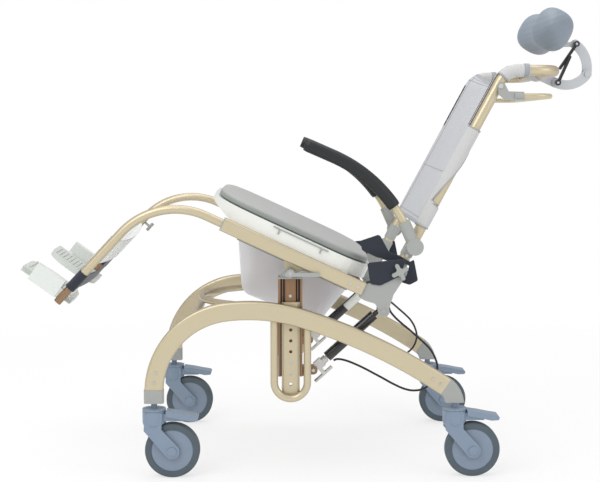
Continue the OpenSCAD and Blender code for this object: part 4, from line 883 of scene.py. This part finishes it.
def push_sleeve(side, sign):
    """Cloth sleeve round the bend below the push bar, with a band near each end."""
    line = []
    for a in (PUSH_START + (PUSH_TURN - PUSH_START) * k / 21 for k in range(22)):
        line.append(back_point(BEND_R * (1 - math.cos(a)), sign * HALF_SPAN,
                               UPRIGHT + BEND_R * math.sin(a)))
    n, s = BEND_R * (1 - math.cos(PUSH_TURN)), UPRIGHT + BEND_R * math.sin(PUSH_TURN)
    for d in (PUSH_RUN * k / 9 for k in range(1, 10)):
        line.append(back_point(n + d * math.sin(PUSH_TURN), sign * HALF_SPAN,
                               s + d * math.cos(PUSH_TURN)))
    sleeve = loft(f"{side}_push_sleeve", tube_rows(line, PUSH_SLEEVE_R, 36), "back", "mesh_fabric",
                  MESH_CLOTH, capped=False)
    thicken(sleeve, 0.001, -1)
    bands = []
    for name, part in {"low": line[:3], "top": line[-6:-1]}.items():
        bands.append(loft(f"{side}_push_band_{name}", tube_rows(part, PUSH_BAND_R, 36), "back",
                          "mesh_fabric", BINDING, capped=False))
        thicken(bands[-1], 0.0012)


back_sling()


# Straps across the leg tubes, whose upper bend and lower run these sizes follow
LEG_OUT, LEG_R, LEG_TURN, LEG_RUN = 42, 165, math.radians(72), 172
LEG_START = (-182 - LEG_OUT, 36)
LEG_Y = 250
STRAP_R, STRAP_BACK = 10.95, 4
HEEL = {"low": LEG_RUN - 48, "width": 48, "sag": 12}
CALF = {"low": 0.535 * LEG_RUN - 73, "width": 73, "sag": 16}
HEEL_TAIL = (-196, -205, -215, -224)


def leg_point(x, y, d):
    """A point by the leg tubes' lower run: off the tube's axis, across, and down from the bend."""
    bend_u = LEG_START[0] - LEG_R * math.sin(LEG_TURN)
    bend_w = LEG_START[1] - LEG_R * (1 - math.cos(LEG_TURN))
    down_u, down_w = -math.cos(LEG_TURN), -math.sin(LEG_TURN)
    off_u, off_w = math.sin(LEG_TURN), -math.cos(LEG_TURN)
    return seat_point(bend_u + down_u * d + off_u * x, y, bend_w + down_w * d + off_w * x)


def leg_strap(name, slot, material, sewn, low, width, sag):
    """Webbing across both leg tubes: sewn round them, or held on their inner halves."""
    def wrap(first, last):
        return [(STRAP_R * math.sin(a), -LEG_Y + STRAP_R * math.cos(a))
                for a in (math.radians(d) for d in range(first, last, 12))]

    def hang(y):
        t = (y + LEG_Y) / (2 * LEG_Y)
        return STRAP_BACK + sag * 4 * t * (1 - t)

    left = wrap(-262 if sewn else -86, 21)
    span = [(hang(y), y) for y in range(-LEG_Y + 20, LEG_Y - 19, 20)]
    path = left + span + [(x, -y) for x, y in reversed(left)]
    if sewn:
        tail = [(hang(y) + 1.7, y) for y in HEEL_TAIL] + [(9.2, -236)]
        path = tail + path + [(x, -y) for x, y in reversed(tail)]
    rows = []
    for x, y in path:
        drawn = 2.5 * (1 - (y / LEG_Y) ** 2) if abs(y) < LEG_Y else 0
        rows.append([leg_point(x, y, low + drawn + (width - 2 * drawn) * j / 12)
                     for j in range(13)])
    made = grid(name + "_webbing", rows, "seat", slot, material, [name + "_strap"])
    thicken(made, 0.0015)


leg_strap("heel", "navy_webbing", FINISHES["navy_webbing"], True, **HEEL)
leg_strap("calf", "mesh_fabric", CALF_CLOTH, False, **CALF)


# Pelvic belt: folded webbing at each rear bracket, outlined in shares of BELT_U and BELT_W
BELT_MAIN = [(-0.34, 0.88), (-0.22, 0.5), (-0.12, 0.56), (0.02, 0.92), (0, 1.3), (-0.12, 1.16)]
BELT_LOOP = [(-0.49, 1.23), (-0.34, 1.53), (-0.17, 1.27), (-0.06, 1.3), (0.06, 1.27),
             (0.09, 1.35), (0.22, 0.98), (0.16, 0.82), (0.045, 0.79), (0.085, 0.93),
             (0.075, 1.19), (-0.04, 1.19), (-0.15, 1.13), (-0.26, 1.06), (-0.43, 1.06)]
BELT_TAIL = [(0.075, 1.19), (0.06, 1.27), (0.09, 1.35), (0.22, 0.98), (0.16, 0.82),
             (0.045, 0.79), (0.085, 0.93)]
BELT_U, BELT_W = 222, 106
BELT_WIDTH = 0.05
BELT_OUTER, BELT_INNER = (258.4, 261.2), (236.8, 239.6)


def belt_part(name, shares, faces_y, sign):
    """One layer of webbing, its corners eased; the area that it was cut to is worked out but not
    used.
    """
    line = [(BELT_U * (1 + x), BELT_W * y) for x, y in shares]
    line = [(a[0] + share * (b[0] - a[0]), a[1] + share * (b[1] - a[1]))
            for a, b in zip(line, line[1:] + line[:1]) for share in (0.08, 0.92)]
    made = plate(name, line, faces_y, "navy_webbing", "seat", seat_point, ["seat_belt"], 0.001,
                 sign)
    area = abs(sum(a[0] * b[1] - b[0] * a[1] for a, b in zip(line, line[1:] + line[:1]))) / 2e6
    math.ceil(1000 * area / BELT_WIDTH) * MM


for side, sign in SIDES.items():
    belt_part(f"{side}_belt_main", BELT_MAIN, BELT_OUTER, sign)
    belt_part(f"{side}_belt_tail", BELT_LOOP if sign == LEFT else BELT_TAIL, BELT_INNER, sign)


# The bare sleeve on the far gas spring: the spring's lower end and way, and rings along it
SPRING_LOW = Vector((-7, 0, 233.2))
SPRING_WAY = Vector((0.73948, 0, 0.67317))
SPRING_Y = 200
SPRING_SLEEVE_R = 12.15
SPRING_SLEEVE = (128, 140, 152, 164, 176)


def bare_label():
    rows = []
    for a in (math.radians(170 + 150 * k / 18) for k in range(19)):
        out = (math.cos(a) * Vector((-SPRING_WAY.z, 0, SPRING_WAY.x))
               + math.sin(a) * Vector((0, 1, 0)))
        rows.append([MM * (SPRING_LOW + SPRING_WAY * d + Vector((0, SPRING_Y, 0))
                           + SPRING_SLEEVE_R * out) for d in SPRING_SLEEVE])
    thicken(grid("spring_sleeve", rows, "right_cylinder", "white_shell", FINISHES["white_shell"]),
            0.0002, 1)


bare_label()


# Floor, backdrop and lamps: the share of pure white near the chair, and where the shadow fades
FLOOR_REACH = 40
FLOOR_WHITE = 0.65
SHADOW_R, SHADOW_FADE = 1.5, 0.8
WORLD_LIGHT = 0.65
floor_mesh = bpy.data.meshes.new("floor")
floor_mesh.from_pydata([(x * FLOOR_REACH, y * FLOOR_REACH, 0)
                        for x, y in ((-1, -1), (1, -1), (1, 1), (-1, 1))], [], [(0, 1, 2, 3)])
floor = bpy.data.objects.new("floor", floor_mesh)
bpy.context.collection.objects.link(floor)


def floor_finish():
    """White to the camera, with a part of the true shading near the chair for its shadow."""
    made = Finish("pale_floor", (250, 250, 250), 0.9)
    made.material.cycles.emission_sampling = "NONE"
    x, y, _ = made.place()
    far = ((x ** 2 + y ** 2) ** 0.5).above(SHADOW_R, SHADOW_FADE)
    seen, glossy, through = (made.seen_by(kind) for kind in ("Camera", "Glossy", "Transmission"))
    share = seen.math("MAXIMUM", seen, glossy.math("MAXIMUM", glossy, through))
    white = made.node("ShaderNodeMixShader", {}, {
        0: share * (far * (1 - FLOOR_WHITE) + FLOOR_WHITE),
        1: Socket(made, made.shader.outputs[0]),
        2: made.node("ShaderNodeEmission")})
    made.feed(made.tree.nodes["Material Output"].inputs["Surface"], white)
    return made.material


floor_mesh.materials.append(floor_finish())

world = bpy.data.worlds.new("studio")
world.use_nodes = True
bpy.context.scene.world = world
backdrop = Nodes(world.node_tree)
background = backdrop.tree.nodes["Background"].inputs
background["Color"].default_value = (1, 1, 1, 1)
backdrop.feed(background["Strength"],
              backdrop.seen_by("Camera") * (1 - WORLD_LIGHT) + WORLD_LIGHT)

# Name, place, size in metres and watts
AIM = Vector((0, 0, 0.5))
LAMPS = [
    ("key", (-1.6, -2.2, 2.8), 2.4, 46),
    ("fill", (2.4, -2.0, 1.6), 2.0, 16),
    ("top", (0.1, 0.4, 3.2), 2.6, 34),
]
for name, place, size, watts in LAMPS:
    lamp_data = bpy.data.lights.new(name, "AREA")
    lamp_data.size = size
    lamp_data.energy = watts
    lamp = bpy.data.objects.new(name, lamp_data)
    lamp.location = place
    lamp.rotation_euler = (AIM - Vector(place)).to_track_quat("-Z", "Y").to_euler()
    bpy.context.collection.objects.link(lamp)

bpy.context.scene.view_settings.view_transform = "Standard"
